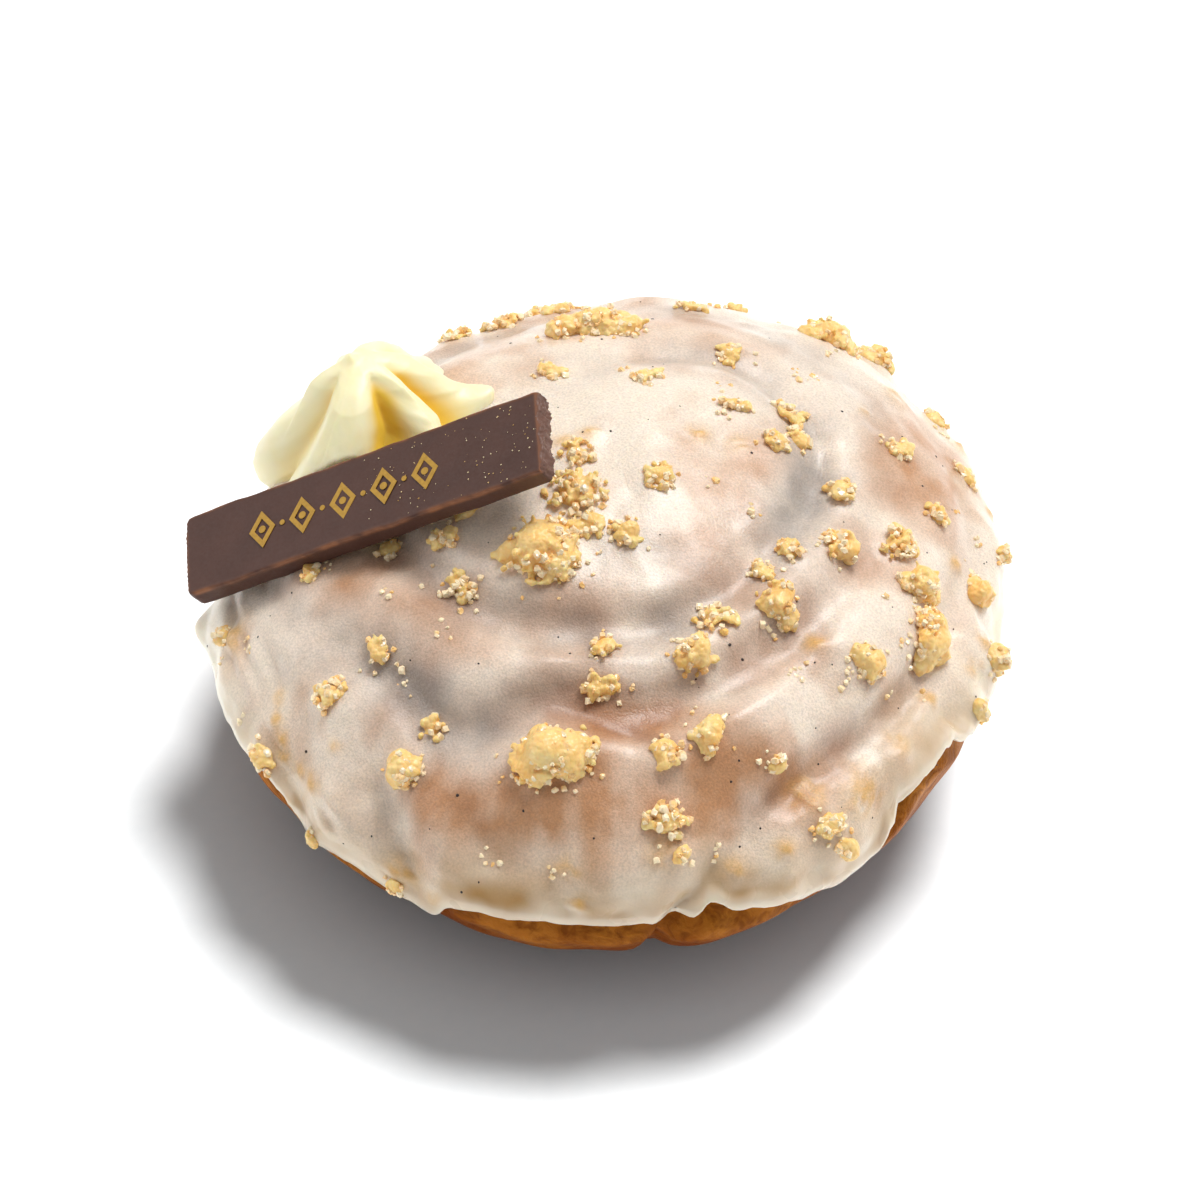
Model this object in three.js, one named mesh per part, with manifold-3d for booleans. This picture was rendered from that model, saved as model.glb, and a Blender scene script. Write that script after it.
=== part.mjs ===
// A glazed scroll doughnut: a rolled bun with a soft spiral on its crown, a sugar
// glaze that runs down to a wavy edge with crumble stuck in it, a piped cream
// rosette on one shoulder and a chocolate bar that leans on the cream.
//
// Millimetres, +Z up. The origin is the middle of the flat foot that the bun
// stands on. -Y is the side that faces the viewer.
import * as THREE from "three";
import { mergeVertices } from "three/addons/utils/BufferGeometryUtils.js";
import Module from "manifold-3d";

// ---- the bun ----
const WAIST_R = 55; // mean radius at the widest height
const WAIST_Z = 25; // height of the widest place
const CROWN = 28; // crown above the waist
const BELLY = 28; // the round belly would reach this far below the waist; the foot cuts it flat
const CROWN_POWER = 1.85; // 2 is an ellipse, more is squarer
const BELLY_POWER = 2.2;
const CROWN_LEAN = [-1, 6]; // the crown sits off the middle
const OVAL = [ // lobes of the waist: number, size, bearing in degrees
  [2, 2.1, 50],
  [3, 1.0, 51],
];
// ---- the glaze ----
const GLAZE = 1.35; // thickness over the dough
const GAP = 0.3; // clearance between neighbouring pieces
const LIP = 0.5; // extra thickness at the glaze's lower edge
// ---- the chocolate bar ----
const BAR = { length: 56, width: 12.6, thick: 3.2, corner: 1.1, bevel: 0.35 };
const BAR_AT = [-34.4, -4.3, 51.4]; // middle of its front face
const BAR_LONG = [0.878, -0.0615, 0.479]; // along the bar, toward the higher end
const BAR_FACE = [-0.478, -0.261, 0.844]; // the way the front face looks
// ---- the rosette ----
const ROSETTE = { at: [-34.8, 13.5, 42.6], radius: 15.4, height: 16, ridges: 7, firstRidge: -110, depth: 0.2 };
const ROSETTE_PEAK = [-1.4, 2]; // the pulled tip stands off the middle

// The surface is drawn in an unrolled map: the crown is the map's middle, and a
// point's reach is its distance from there, 55 at the waist. The roll's groove is
// [bearing in degrees, reach, depth, half width], clockwise from the heart of the
// scroll out to its tail, which tucks under the front.
const ROLL = [
  [130, 10, 0, 2.5], [104, 12.4, 0.7, 2.6], [78, 14, 1.2, 2.6], [50, 17.4, 1.4, 2.7],
  [20, 19.8, 1.6, 2.8], [-10, 20.5, 1.7, 2.9], [-38, 19.8, 1.5, 3], [-62, 20.8, 1.5, 3.1],
  [-90, 21.3, 1.8, 3.2], [-120, 21.8, 1.9, 3.2], [-150, 22.4, 1.7, 3], [-178, 25.6, 1.6, 3],
  [-208, 29.2, 1.6, 3], [-240, 29.6, 1.5, 3], [-272, 28.8, 1.4, 3], [-304, 27.2, 1.3, 2.9],
  [-336, 29.4, 1.4, 2.9], [-366, 27.8, 1.3, 3], [-394, 27.2, 1.6, 3.2], [-418, 27.3, 2, 3.2],
  [-440, 29, 2.1, 3.2], [-460, 28.6, 2.1, 3.2], [-477, 33.4, 1.6, 3.5], [-495, 31.8, 1.6, 3.4],
  [-520, 35.5, 1, 3.4], [-545, 40, 1, 3.4], [-575, 42, 1.2, 3.4], [-610, 42, 1.3, 3.4],
  [-650, 41.5, 1.3, 3.4], [-690, 40, 1.3, 3.2], [-720, 40.4, 1.4, 3.2], [-746, 40.4, 1.7, 3.4],
  [-763, 41, 1.9, 3.6], [-779, 40.5, 2, 3.6], [-790, 43.5, 1.3, 3.2], [-799, 50, 1.1, 2.6],
  [-803.5, 57.5, 1.8, 2], [-806, 66, 2.2, 1.9], [-807, 76, 1.8, 2],
];
// Folds of the glaze and dough that cross the roll: rows of [map x, map y, depth, half width].
const FOLDS = [
  [[-46, -8, 0, 1.8], [-44, -15, 1, 1.8], [-40.5, -23, 0, 1.8]],
  [[-39, -10, 0, 2], [-36.5, -18, 0.8, 2], [-33.5, -27, 0, 2]],
  [[-24, -26, 0, 4], [-25.8, -36, 1.6, 4], [-26, -44, 1.5, 3.6], [-25.5, -52, 0, 3]],
  [[36, 17, 0, 2.6], [40, 6, 1, 2.6], [44, -7, 0.9, 2.6], [44, -16, 0, 2.6]],
  [[33, -33, 0, 3], [36.5, -36.5, 1.1, 2.6], [38, -42, 0, 2]],
];
// Pillows and dents between the grooves: [map x, map y, height, radius].
const SWELL = [
  [-8, -25, 0.9, 6], [12, -31, 1.2, 7], [-33, -15, 1.3, 5.5], [29, -17, 1, 6], [7, 4, 0.7, 9],
  [2, 8, -0.5, 4], [-33, -36, 1.1, 5.5], [-17, -42, 0.7, 6], [0, -45, 0.8, 9], [22, -47, 1.3, 8],
  [43, -26, 1, 7], [38, 30, 0.9, 9], [-20, 38, 0.8, 9], [-50, -6, 1.4, 5], [46, 3, 0.9, 6],
  [6, 34, 0.7, 8], [-47, -26, 0.7, 6],
];
// Height of the glaze's edge around the bun: [bearing in degrees, height].
const EDGE = [
  [-168, 26], [-154, 25.3], [-146, 26], [-141, 24.5], [-137.5, 22.5], [-129, 21.6], [-124, 20.5],
  [-119.5, 19.9], [-116, 18.2], [-112.5, 22.3], [-108, 23.7], [-100, 23.9], [-92, 23.9], [-85, 24.5],
  [-80, 24.2], [-77.5, 25.8], [-73.5, 23.9], [-69, 23.3], [-62, 21.2], [-55.5, 19.6], [-50.5, 20.2],
  [-48, 24.3], [-45, 26.6], [-40, 27.9], [-33, 28.3], [-29, 26.6], [-24.5, 25.2], [-15, 23.7],
  [-5, 24.5], [5, 23], [14, 25.5], [24, 24], [33, 26.3], [42, 22.5], [50, 21.2], [58, 25], [70, 26],
  [82, 23.3], [93, 24.5], [103, 21], [110, 20.2], [117, 24.5], [130, 25.8], [143, 23], [155, 24.7],
  [167, 22.3], [178, 21.3], [186, 24.5], [192, 26],
];
// The big crumb clumps: [map x, map y, width, depth].
const CLUMPS = [
  [-1, 20.6, 12, 7], [-6, 32, 5, 4], [-12.5, 31, 5.5, 4], [-18, 30.6, 4.5, 4], [22, 26.2, 8.5, 6.5],
  [-5.9, 11.3, 4.6, 4.2], [11, 15, 5, 3.5], [3.3, 8.9, 4.6, 4.2], [11.6, 5.4, 4.8, 4], [17.3, 7, 4.2, 4.4],
  [18.4, 3.6, 3.8, 4], [15.9, 1.2, 3.4, 3.8], [4.4, -6, 4.2, 3.8], [-3.3, -3.3, 4, 4.4], [-3.2, -7.6, 6.6, 5.6],
  [-6.6, -13.6, 9.4, 8.6], [-1.9, -11.4, 4.2, 4.4], [1.9, -11.8, 3.8, 4], [-13.9, -16, 4.2, 4.8],
  [-23, -20.3, 5, 3.8], [-28.5, -23.9, 4.6, 4.8], [-21.9, -33.1, 5, 5.6], [-18.1, -29, 3.2, 3],
  [-6.3, -33, 11, 7.6], [-0.2, -22.8, 4.4, 3.6], [-0.7, -26.8, 4.8, 3.6], [8, -23.6, 5.2, 5], [9.8, -19.8, 5, 3.8],
  [16.2, -17.6, 5.6, 6.4], [17.4, -11.3, 3.6, 3.4], [14.8, -14, 3.6, 3.2], [23.7, -9.8, 6, 5],
  [35.4, -16.6, 7.6, 8.4], [26.6, -21.9, 6, 4.6], [32.6, -10.3, 7.4, 6.4], [29.6, -6.6, 5, 5.4],
  [9.2, -31.8, 4.4, 6.4], [5, -33.4, 4, 3.8], [16.9, -34.4, 3.2, 3], [5.2, -40.4, 5.4, 5], [6.4, -44.2, 6, 3],
  [24.4, -40.6, 5.2, 4.8], [28.2, -43.6, 5.6, 4.4], [43, -6, 5, 5.4], [47.4, -13.3, 5, 5.2], [46.6, -21.6, 5, 4.2],
  [34.4, 0.2, 3.6, 3.4], [22.6, -2.2, 3.8, 3.8], [29, 7.6, 4.2, 4.8], [-45, -11, 3.6, 3.2], [-42, -28, 3.2, 6],
  [-40, -40.5, 4.6, 3.6], [-29, -48.6, 3, 4.2],
];
const MORE_CRUMBS = 14; // smaller ones, scattered

const RAD = Math.PI / 180;
const clamp = THREE.MathUtils.clamp;
const smooth = THREE.MathUtils.smoothstep;

// Repeatable random numbers from 0 to 1.
function seeded(seed) {
  let a = seed;
  return () => {
    a = (a + 0x6d2b79f5) | 0;
    let t = Math.imul(a ^ (a >>> 15), 1 | a);
    t = (t + Math.imul(t ^ (t >>> 7), 61 | t)) ^ t;
    return ((t ^ (t >>> 14)) >>> 0) / 4294967296;
  };
}

// The groove's course in the map, as short straight stretches.
const onMap = (bearing, reach) => [reach * Math.cos(bearing * RAD), reach * Math.sin(bearing * RAD)];
function easedRows(rows, steps) {
  const out = [];
  const lead = rows[0].map((v, k) => 2 * v - rows[1][k]);
  const tail = rows.at(-1).map((v, k) => 2 * v - rows.at(-2)[k]);
  const all = [lead, ...rows, tail];
  for (let i = 1; i < all.length - 2; i++) {
    for (let s = 0; s < steps; s++) {
      const t = s / steps;
      out.push(rows[0].map((_, k) => {
        const [a, b, c, d] = [all[i - 1][k], all[i][k], all[i + 1][k], all[i + 2][k]];
        return 0.5 * (2 * b + (c - a) * t + (2 * a - 5 * b + 4 * c - d) * t * t + (3 * b - 3 * c + d - a) * t ** 3);
      }));
    }
  }
  out.push(rows.at(-1));
  return out;
}
const roll = easedRows(ROLL, 4).map(([bearing, reach, depth, half]) => [...onMap(bearing, reach), depth, half]);
const stretches = [roll, ...FOLDS].flatMap((rows) => rows.slice(1).map((row, i) => [rows[i], row]));

// How far the surface stands above (or, in a groove, below) the plain bun.
function relief(mx, my) {
  let h = 0;
  for (const [[ax, ay, depthA, halfA], [bx, by, depthB, halfB]] of stretches) {
    const ux = bx - ax;
    const uy = by - ay;
    const t = clamp(((mx - ax) * ux + (my - ay) * uy) / (ux * ux + uy * uy), 0, 1);
    const d2 = (mx - ax - t * ux) ** 2 + (my - ay - t * uy) ** 2;
    const depth = depthA + (depthB - depthA) * t;
    const half = halfA + (halfB - halfA) * t;
    h = Math.min(h, -depth * Math.exp(-d2 / (half * half)));
  }
  for (const [cx, cy, height, r] of SWELL) h += height * Math.exp(-((mx - cx) ** 2 + (my - cy) ** 2) / (r * r));
  h += 0.35 * Math.sin(0.19 * mx + 1.3) * Math.cos(0.16 * my - 0.4);
  h += 0.22 * Math.sin(0.33 * my + 0.21 * mx) * Math.sin(0.29 * mx - 0.15 * my + 2);
  return h;
}

// The lowest relief around a point, so that a coarse inner skin stays inside the outer one.
function lowest(mx, my) {
  let h = relief(mx, my);
  for (let k = 0; k < 8; k++) h = Math.min(h, relief(mx + 3 * Math.cos(k * 45 * RAD), my + 3 * Math.sin(k * 45 * RAD)));
  return h;
}

// The plain bun: the point at a place of the map.
function plain(mx, my) {
  const reach = Math.hypot(mx, my);
  const bearing = Math.atan2(my, mx);
  const polar = clamp(reach / WAIST_R, 1e-5, 2 - 1e-5) * 90 * RAD;
  let r = WAIST_R;
  for (const [n, size, at] of OVAL) r += size * Math.cos(n * (bearing - at * RAD));
  const upper = polar <= 90 * RAD;
  const power = 2 / (upper ? CROWN_POWER : BELLY_POWER);
  const out = r * Math.abs(Math.sin(polar)) ** power;
  const rise = Math.abs(Math.cos(polar)) ** power;
  return new THREE.Vector3(
    out * Math.cos(bearing) + (upper ? CROWN_LEAN[0] * rise : 0),
    out * Math.sin(bearing) + (upper ? CROWN_LEAN[1] * rise : 0),
    WAIST_Z + (upper ? CROWN : -BELLY) * rise,
  );
}

// A point of the skin, raised off the plain bun, and the way it faces.
function skin(mx, my, raise) {
  const point = plain(mx, my);
  const across = plain(mx + 0.01, my).sub(plain(mx - 0.01, my));
  const along = plain(mx, my + 0.01).sub(plain(mx, my - 0.01));
  const facing = across.cross(along).normalize();
  return { point: point.addScaledVector(facing, raise), facing };
}

function edgeHeight(bearingDeg) {
  let b = bearingDeg;
  if (b < EDGE[0][0]) b += 360;
  if (b > EDGE.at(-1)[0]) b -= 360;
  const i = Math.max(1, EDGE.findIndex(([at]) => at >= b));
  const [b0, z0] = EDGE[i - 1];
  const [b1, z1] = EDGE[i];
  return z0 + (z1 - z0) * smooth((b - b0) / (b1 - b0), 0, 1);
}

// A closed skin around the bun. raise gives the offset from the map place and the plain height.
function shell(detail, raise) {
  const geometry = new THREE.IcosahedronGeometry(1, detail);
  const at = geometry.attributes.position;
  for (let i = 0; i < at.count; i++) {
    const d = new THREE.Vector3().fromBufferAttribute(at, i).normalize();
    const bearing = Math.atan2(d.y, d.x);
    const reach = clamp(Math.acos(clamp(d.z, -1, 1)) / (90 * RAD), 0, 2) * WAIST_R;
    const mx = reach * Math.cos(bearing);
    const my = reach * Math.sin(bearing);
    const { point } = skin(mx, my, raise(mx, my, plain(mx, my).z, bearing / RAD));
    at.setXYZ(i, point.x, point.y, Math.max(point.z, 0));
  }
  return geometry;
}

// ---- joining and cutting ----
const wasm = await Module();
wasm.setup();

function solid(geometry) {
  const bare = geometry.clone();
  for (const name of Object.keys(bare.attributes)) if (name !== "position") bare.deleteAttribute(name);
  const merged = mergeVertices(bare, 1e-4);
  return new wasm.Manifold(new wasm.Mesh({
    numProp: 3,
    vertProperties: new Float32Array(merged.attributes.position.array),
    triVerts: new Uint32Array(merged.index.array),
  }));
}

function geometryOf(manifold) {
  const mesh = manifold.getMesh();
  const geometry = new THREE.BufferGeometry();
  geometry.setAttribute("position", new THREE.BufferAttribute(new Float32Array(mesh.vertProperties), 3));
  geometry.setIndex(new THREE.BufferAttribute(new Uint32Array(mesh.triVerts), 1));
  geometry.computeVertexNormals();
  return geometry;
}

// ---- the chocolate bar: a flat tablet with rounded corners, its broken end a little uneven ----
function barGeometry(grow) {
  const { length, width, thick, corner, bevel } = BAR;
  const x = length / 2 - bevel;
  const y = width / 2 - bevel;
  const outline = new THREE.Shape();
  outline.moveTo(-x + corner, -y);
  outline.lineTo(x - corner, -y);
  outline.quadraticCurveTo(x, -y, x, -y + corner);
  outline.lineTo(x + 0.35, -y * 0.35);
  outline.lineTo(x - 0.15, y * 0.3);
  outline.lineTo(x, y - corner);
  outline.quadraticCurveTo(x, y, x - corner, y);
  outline.lineTo(-x + corner, y);
  outline.quadraticCurveTo(-x, y, -x, y - corner);
  outline.lineTo(-x, -y + corner);
  outline.quadraticCurveTo(-x, -y, -x + corner, -y);
  const geometry = new THREE.ExtrudeGeometry(outline, {
    depth: thick - 2 * bevel, bevelEnabled: true, bevelSize: bevel, bevelThickness: bevel, bevelSegments: 1, curveSegments: 3,
  });
  geometry.translate(0, 0, bevel - thick);
  geometry.scale(1 + (2 * grow) / length, 1 + (2 * grow) / width, 1 + (2 * grow) / thick);
  geometry.translate(0, 0, grow);
  const long = new THREE.Vector3(...BAR_LONG).normalize();
  const face = new THREE.Vector3(...BAR_FACE);
  face.addScaledVector(long, -face.dot(long)).normalize();
  const up = new THREE.Vector3().crossVectors(face, long);
  geometry.applyMatrix4(new THREE.Matrix4().makeBasis(long, up, face).setPosition(...BAR_AT));
  return geometry;
}

// ---- the rosette: a star-piped dollop, its ridges gathered in a pulled tip ----
function rosetteGeometry() {
  const rings = 12;
  const around = 49;
  const { at, radius, height, ridges, firstRidge, depth } = ROSETTE;
  // Profile from the foot to the tip: [share of the radius, share of the height].
  const profile = new THREE.CatmullRomCurve3([
    [0.9, -0.62], [0.99, -0.3], [1, 0], [0.93, 0.24], [0.79, 0.45], [0.6, 0.62], [0.4, 0.76], [0.22, 0.88], [0.09, 1],
  ].map(([r, h]) => new THREE.Vector3(r, h, 0)), false, "centripetal");
  const rows = profile.getPoints(rings - 1);
  const points = rows.map((p) => new THREE.Vector2(p.x * radius, p.y * height));
  const lathe = new THREE.LatheGeometry(
    [new THREE.Vector2(0, points[0].y), ...points, new THREE.Vector2(0, points.at(-1).y + 0.5)], around);
  const place = lathe.attributes.position;
  for (let i = 0; i < place.count; i++) {
    const v = new THREE.Vector3().fromBufferAttribute(place, i);
    const r = Math.hypot(v.x, v.z);
    const up = v.y / height;
    const bearing = Math.atan2(-v.z, v.x);
    // Sharp crests with round valleys between, turning a little on their way up.
    const phase = (ridges / 2) * (bearing - firstRidge * RAD - 0.35 * up);
    const crest = 1 - Math.abs(Math.sin(phase)) ** 0.9;
    const strength = depth * smooth(up, -0.6, 0.2) * (1 - 0.35 * smooth(up, 0.7, 1));
    const oval = 1 + 0.07 * Math.cos(2 * (bearing - 10 * RAD)) + 0.04 * Math.sin(3 * bearing + 0.8);
    const reach = r * oval * (1 + strength * (crest - 0.45));
    const lean = Math.max(up, 0) ** 2;
    place.setXYZ(i,
      at[0] + reach * Math.cos(bearing) + ROSETTE_PEAK[0] * lean,
      at[1] + reach * Math.sin(bearing) + ROSETTE_PEAK[1] * lean,
      // Its foot follows the slope of the shoulder, which falls away to the left.
      at[2] + v.y + 0.42 * reach * Math.cos(bearing) * (1 - 0.75 * smooth(up, 0, 1)));
  }
  return lathe;
}

// ---- crumbs: squat lumps, each clump made of a few ----
function lump(centre, facing, size, squat, detail, random) {
  const geometry = new THREE.IcosahedronGeometry(1, detail);
  const at = geometry.attributes.position;
  const jolt = [];
  for (let k = 0; k < 5; k++) jolt.push([random() * 4 - 2, random() * 4 - 2, random() * 4 - 2, random() * 6]);
  for (let i = 0; i < at.count; i++) {
    const v = new THREE.Vector3().fromBufferAttribute(at, i);
    let r = 1;
    for (const [a, b, c, d] of jolt) r += 0.09 * Math.sin(a * v.x + b * v.y + c * v.z + d);
    at.setXYZ(i, v.x * r * size, v.y * r * size, v.z * r * size * squat);
  }
  const turn = new THREE.Quaternion().setFromUnitVectors(new THREE.Vector3(0, 0, 1), facing);
  geometry.rotateZ(random() * 6.28);
  geometry.applyQuaternion(turn);
  geometry.translate(centre.x, centre.y, centre.z);
  return geometry;
}

function clump([mx, my, width, deep], random) {
  const small = Math.min(width, deep) / 2;
  const large = Math.max(width, deep) / 2;
  const lengthwise = width >= deep ? [1, 0] : [0, 1];
  const lumps = [];
  const add = (x, y, size, squat) => {
    const { point, facing } = skin(x, y, relief(x, y) + size * squat * 0.35);
    lumps.push(solid(lump(point, facing, size, squat, size > 3.1 ? 1 : 0, random)));
  };
  if (large > 3) {
    const spread = large - small * 0.75;
    add(mx - lengthwise[0] * spread, my - lengthwise[1] * spread, small * 0.85, 0.8);
    add(mx + lengthwise[0] * spread, my + lengthwise[1] * spread, small * 0.75, 0.75);
    add(mx, my + (random() - 0.5) * small * 0.5, small * 0.9, 0.95);
  } else {
    add(mx, my, (small + large) / 2, 0.85);
  }
  return lumps;
}

function crumbs() {
  const random = seeded(41);
  const lumps = CLUMPS.flatMap((row) => clump(row, random));
  // The scattered ones keep off the rosette, the bar and each other.
  const taken = CLUMPS.map(([x, y, w]) => [x, y, w / 2]);
  taken.push([-26, 8, 17], [-20, -6, 10], [-34, -2, 10]);
  let left = MORE_CRUMBS;
  while (left > 0) {
    const bearing = random() * 360;
    const reach = 12 + 40 * Math.sqrt(random());
    const size = 1.3 + 0.9 * random() ** 2;
    const [x, y] = onMap(bearing, reach);
    if (taken.some(([tx, ty, r]) => Math.hypot(x - tx, y - ty) < r + size + 2.5)) continue;
    taken.push([x, y, size]);
    lumps.push(...clump([x, y, 2 * size, 1.8 * size], random));
    left--;
  }
  return wasm.Manifold.union(lumps);
}

// ---- the glaze: the skin over the dough, down to its wavy edge ----
const lipAt = (z, bearing) => LIP * Math.exp(-(((z - edgeHeight(bearing) - 1) / 2.4) ** 2));
const glazeTop = (grow) => (mx, my, z, bearing) => relief(mx, my) + lipAt(z, bearing) + grow;

function aboveEdge() {
  const rim = 75; // well outside the bun
  const geometry = new THREE.CylinderGeometry(rim, rim, 60, 144, 1).rotateX(90 * RAD);
  const at = geometry.attributes.position;
  for (let i = 0; i < at.count; i++) {
    const [x, y, z] = [at.getX(i), at.getY(i), at.getZ(i)];
    const fall = Math.hypot(x, y) > 1 ? (edgeHeight(Math.atan2(y, x) / RAD) - WAIST_Z) * (rim / WAIST_R) : 0;
    at.setZ(i, z > 0 ? 90 : WAIST_Z + fall);
  }
  return geometry;
}

const barClear = solid(barGeometry(GAP));
const glaze = solid(shell(16, glazeTop(0)))
  .intersect(solid(aboveEdge()))
  .add(crumbs())
  .subtract(solid(shell(10, (mx, my) => lowest(mx, my) - GLAZE)))
  .subtract(barClear);

// ---- the cream follows the glaze under it and is dented by the bar ----
const cream = solid(rosetteGeometry())
  .subtract(solid(shell(16, glazeTop(GAP))))
  .subtract(barClear);

// ---- the dough: under the glaze it keeps clear of it, below the edge its crust swells out ----
const dough = shell(10, (mx, my, z, bearing) => {
  const below = smooth(edgeHeight(bearing) - 3.5 - z, 0, 5);
  const under = lowest(mx, my) - GLAZE - GAP - 0.05;
  return under + (relief(mx, my) - 0.5 - under) * below;
});

function piece(name, geometry, colour, roughness) {
  const mesh = new THREE.Mesh(geometry, new THREE.MeshStandardMaterial({ color: colour, roughness, metalness: 0 }));
  mesh.name = name;
  return mesh;
}

const scroll = new THREE.Group();
scroll.name = "glazed_scroll";
scroll.add(
  piece("scroll_dough", geometryOf(solid(dough)), 0x8a4c18, 0.65),
  piece("sugar_glaze", geometryOf(glaze), 0xd9c4aa, 0.35),
  piece("cream_rosette", geometryOf(cream), 0xf7e7b4, 0.5),
  piece("chocolate_bar", geometryOf(solid(barGeometry(0))), 0x50362f, 0.45),
);

export default scroll;
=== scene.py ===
import math
from functools import partial

import bpy
import numpy as np
from mathutils import Matrix, Vector, noise


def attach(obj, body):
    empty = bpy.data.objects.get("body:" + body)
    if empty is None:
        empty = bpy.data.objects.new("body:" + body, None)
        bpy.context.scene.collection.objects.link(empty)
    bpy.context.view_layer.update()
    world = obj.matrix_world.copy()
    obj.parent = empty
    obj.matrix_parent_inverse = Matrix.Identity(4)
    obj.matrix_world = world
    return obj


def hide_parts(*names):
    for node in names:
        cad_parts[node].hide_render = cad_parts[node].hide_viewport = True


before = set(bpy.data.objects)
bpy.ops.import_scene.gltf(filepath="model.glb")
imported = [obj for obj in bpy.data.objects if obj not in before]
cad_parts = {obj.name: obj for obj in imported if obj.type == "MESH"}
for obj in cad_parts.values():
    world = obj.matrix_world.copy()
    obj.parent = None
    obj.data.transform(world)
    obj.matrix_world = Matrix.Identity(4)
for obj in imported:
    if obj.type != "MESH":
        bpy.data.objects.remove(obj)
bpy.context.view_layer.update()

# -------------------- the scroll of dough
# A strip of soft yeast dough, rolled up with cinnamon sugar, risen on its flat
# foot and fried. Its crown keeps the spiral of the roll as a soft furrow, and
# the strip's tail tucks under the front, where it leaves a crease in the crust.
MM = 0.001
WAIST_R, WAIST_Z, CROWN, BELLY = 55.0, 25.0, 28.0, 28.0  # mm
CROWN_POWER, BELLY_POWER = 1.85, 2.2  # 2 is a round arc, less is more pointed, more is fuller
CROWN_LEAN = (-1.0, 6.0)  # mm that the crown stands off the waist's middle
OVAL = ((2, 2.1, 50), (3, 1.0, 51))  # lobes of the waist: number, mm, bearing in degrees

# The surface is drawn in an unrolled map with the crown in its middle: a point's
# reach is its way from the crown, 55 at the waist. The furrow runs clockwise from
# the heart of the scroll: bearing, reach, depth, half width, grey tint, brown tint of painted shade.
ROLL = (
    (130, 10, 0, 2.5, 0, 0), (104, 12.4, .7, 2.6, .35, 0), (78, 14, 1.2, 2.6, .6, 0),
    (50, 17.4, 1.4, 2.7, .6, 0), (20, 19.8, 1.6, 2.8, .8, 0), (-10, 20.5, 1.7, 2.9, 1, 0),
    (-38, 19.8, 1.5, 3, .7, .4), (-62, 20.8, 1.5, 3, .7, .5), (-90, 21.3, 1.8, 3, .7, .6),
    (-120, 21.8, 1.9, 3, .6, .8), (-150, 22.4, 1.7, 3, .4, .6), (-178, 25.6, 1.6, 3, .3, .2),
    (-208, 29.2, 1.2, 3.2, .3, .2), (-240, 29.6, .8, 3.4, .4, .2), (-272, 28.8, .8, 3.4, .4, 0),
    (-304, 27.2, .7, 3.4, .5, 0), (-336, 29.4, .8, 3.4, .3, 0), (-366, 27.8, .9, 3.4, .1, .2),
    (-394, 27.2, 1.6, 3.2, 0, .6), (-418, 27.3, 2, 3.2, 0, 1), (-440, 29, 2.1, 3.2, 0, 1),
    (-460, 28.6, 2.1, 3.2, .2, 1), (-477, 33.4, 1.6, 3.5, .9, .3), (-495, 31.8, 1.6, 3.4, .9, .2),
    (-520, 35.5, .8, 3.4, .3, .2), (-545, 40, .6, 3.8, 0, .2), (-575, 42, .6, 3.8, .1, .2),
    (-610, 42, .6, 3.8, .1, .2), (-650, 41.5, .6, 3.8, .1, .2), (-690, 40, .6, 3.6, 0, .2),
    (-720, 40.4, .9, 3.4, 0, .3), (-746, 40.4, 1.7, 3.4, 0, .7), (-763, 41, 1.9, 3.6, 0, .9),
    (-779, 40.5, 2, 3.6, 0, .8), (-790, 43.5, 1.3, 3.2, 0, .4), (-799, 50, 1.1, 2.6, 0, .1),
    (-803, 57.5, 1.9, 1.6, 0, 0), (-804.5, 65, 1.9, 1.6, 0, .7), (-805, 70, 1.7, 2.6, 0, .5),
    (-805.5, 76, 2.1, 5, 0, .2), (-806, 88, 2.4, 7, 0, 0),
)
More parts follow.
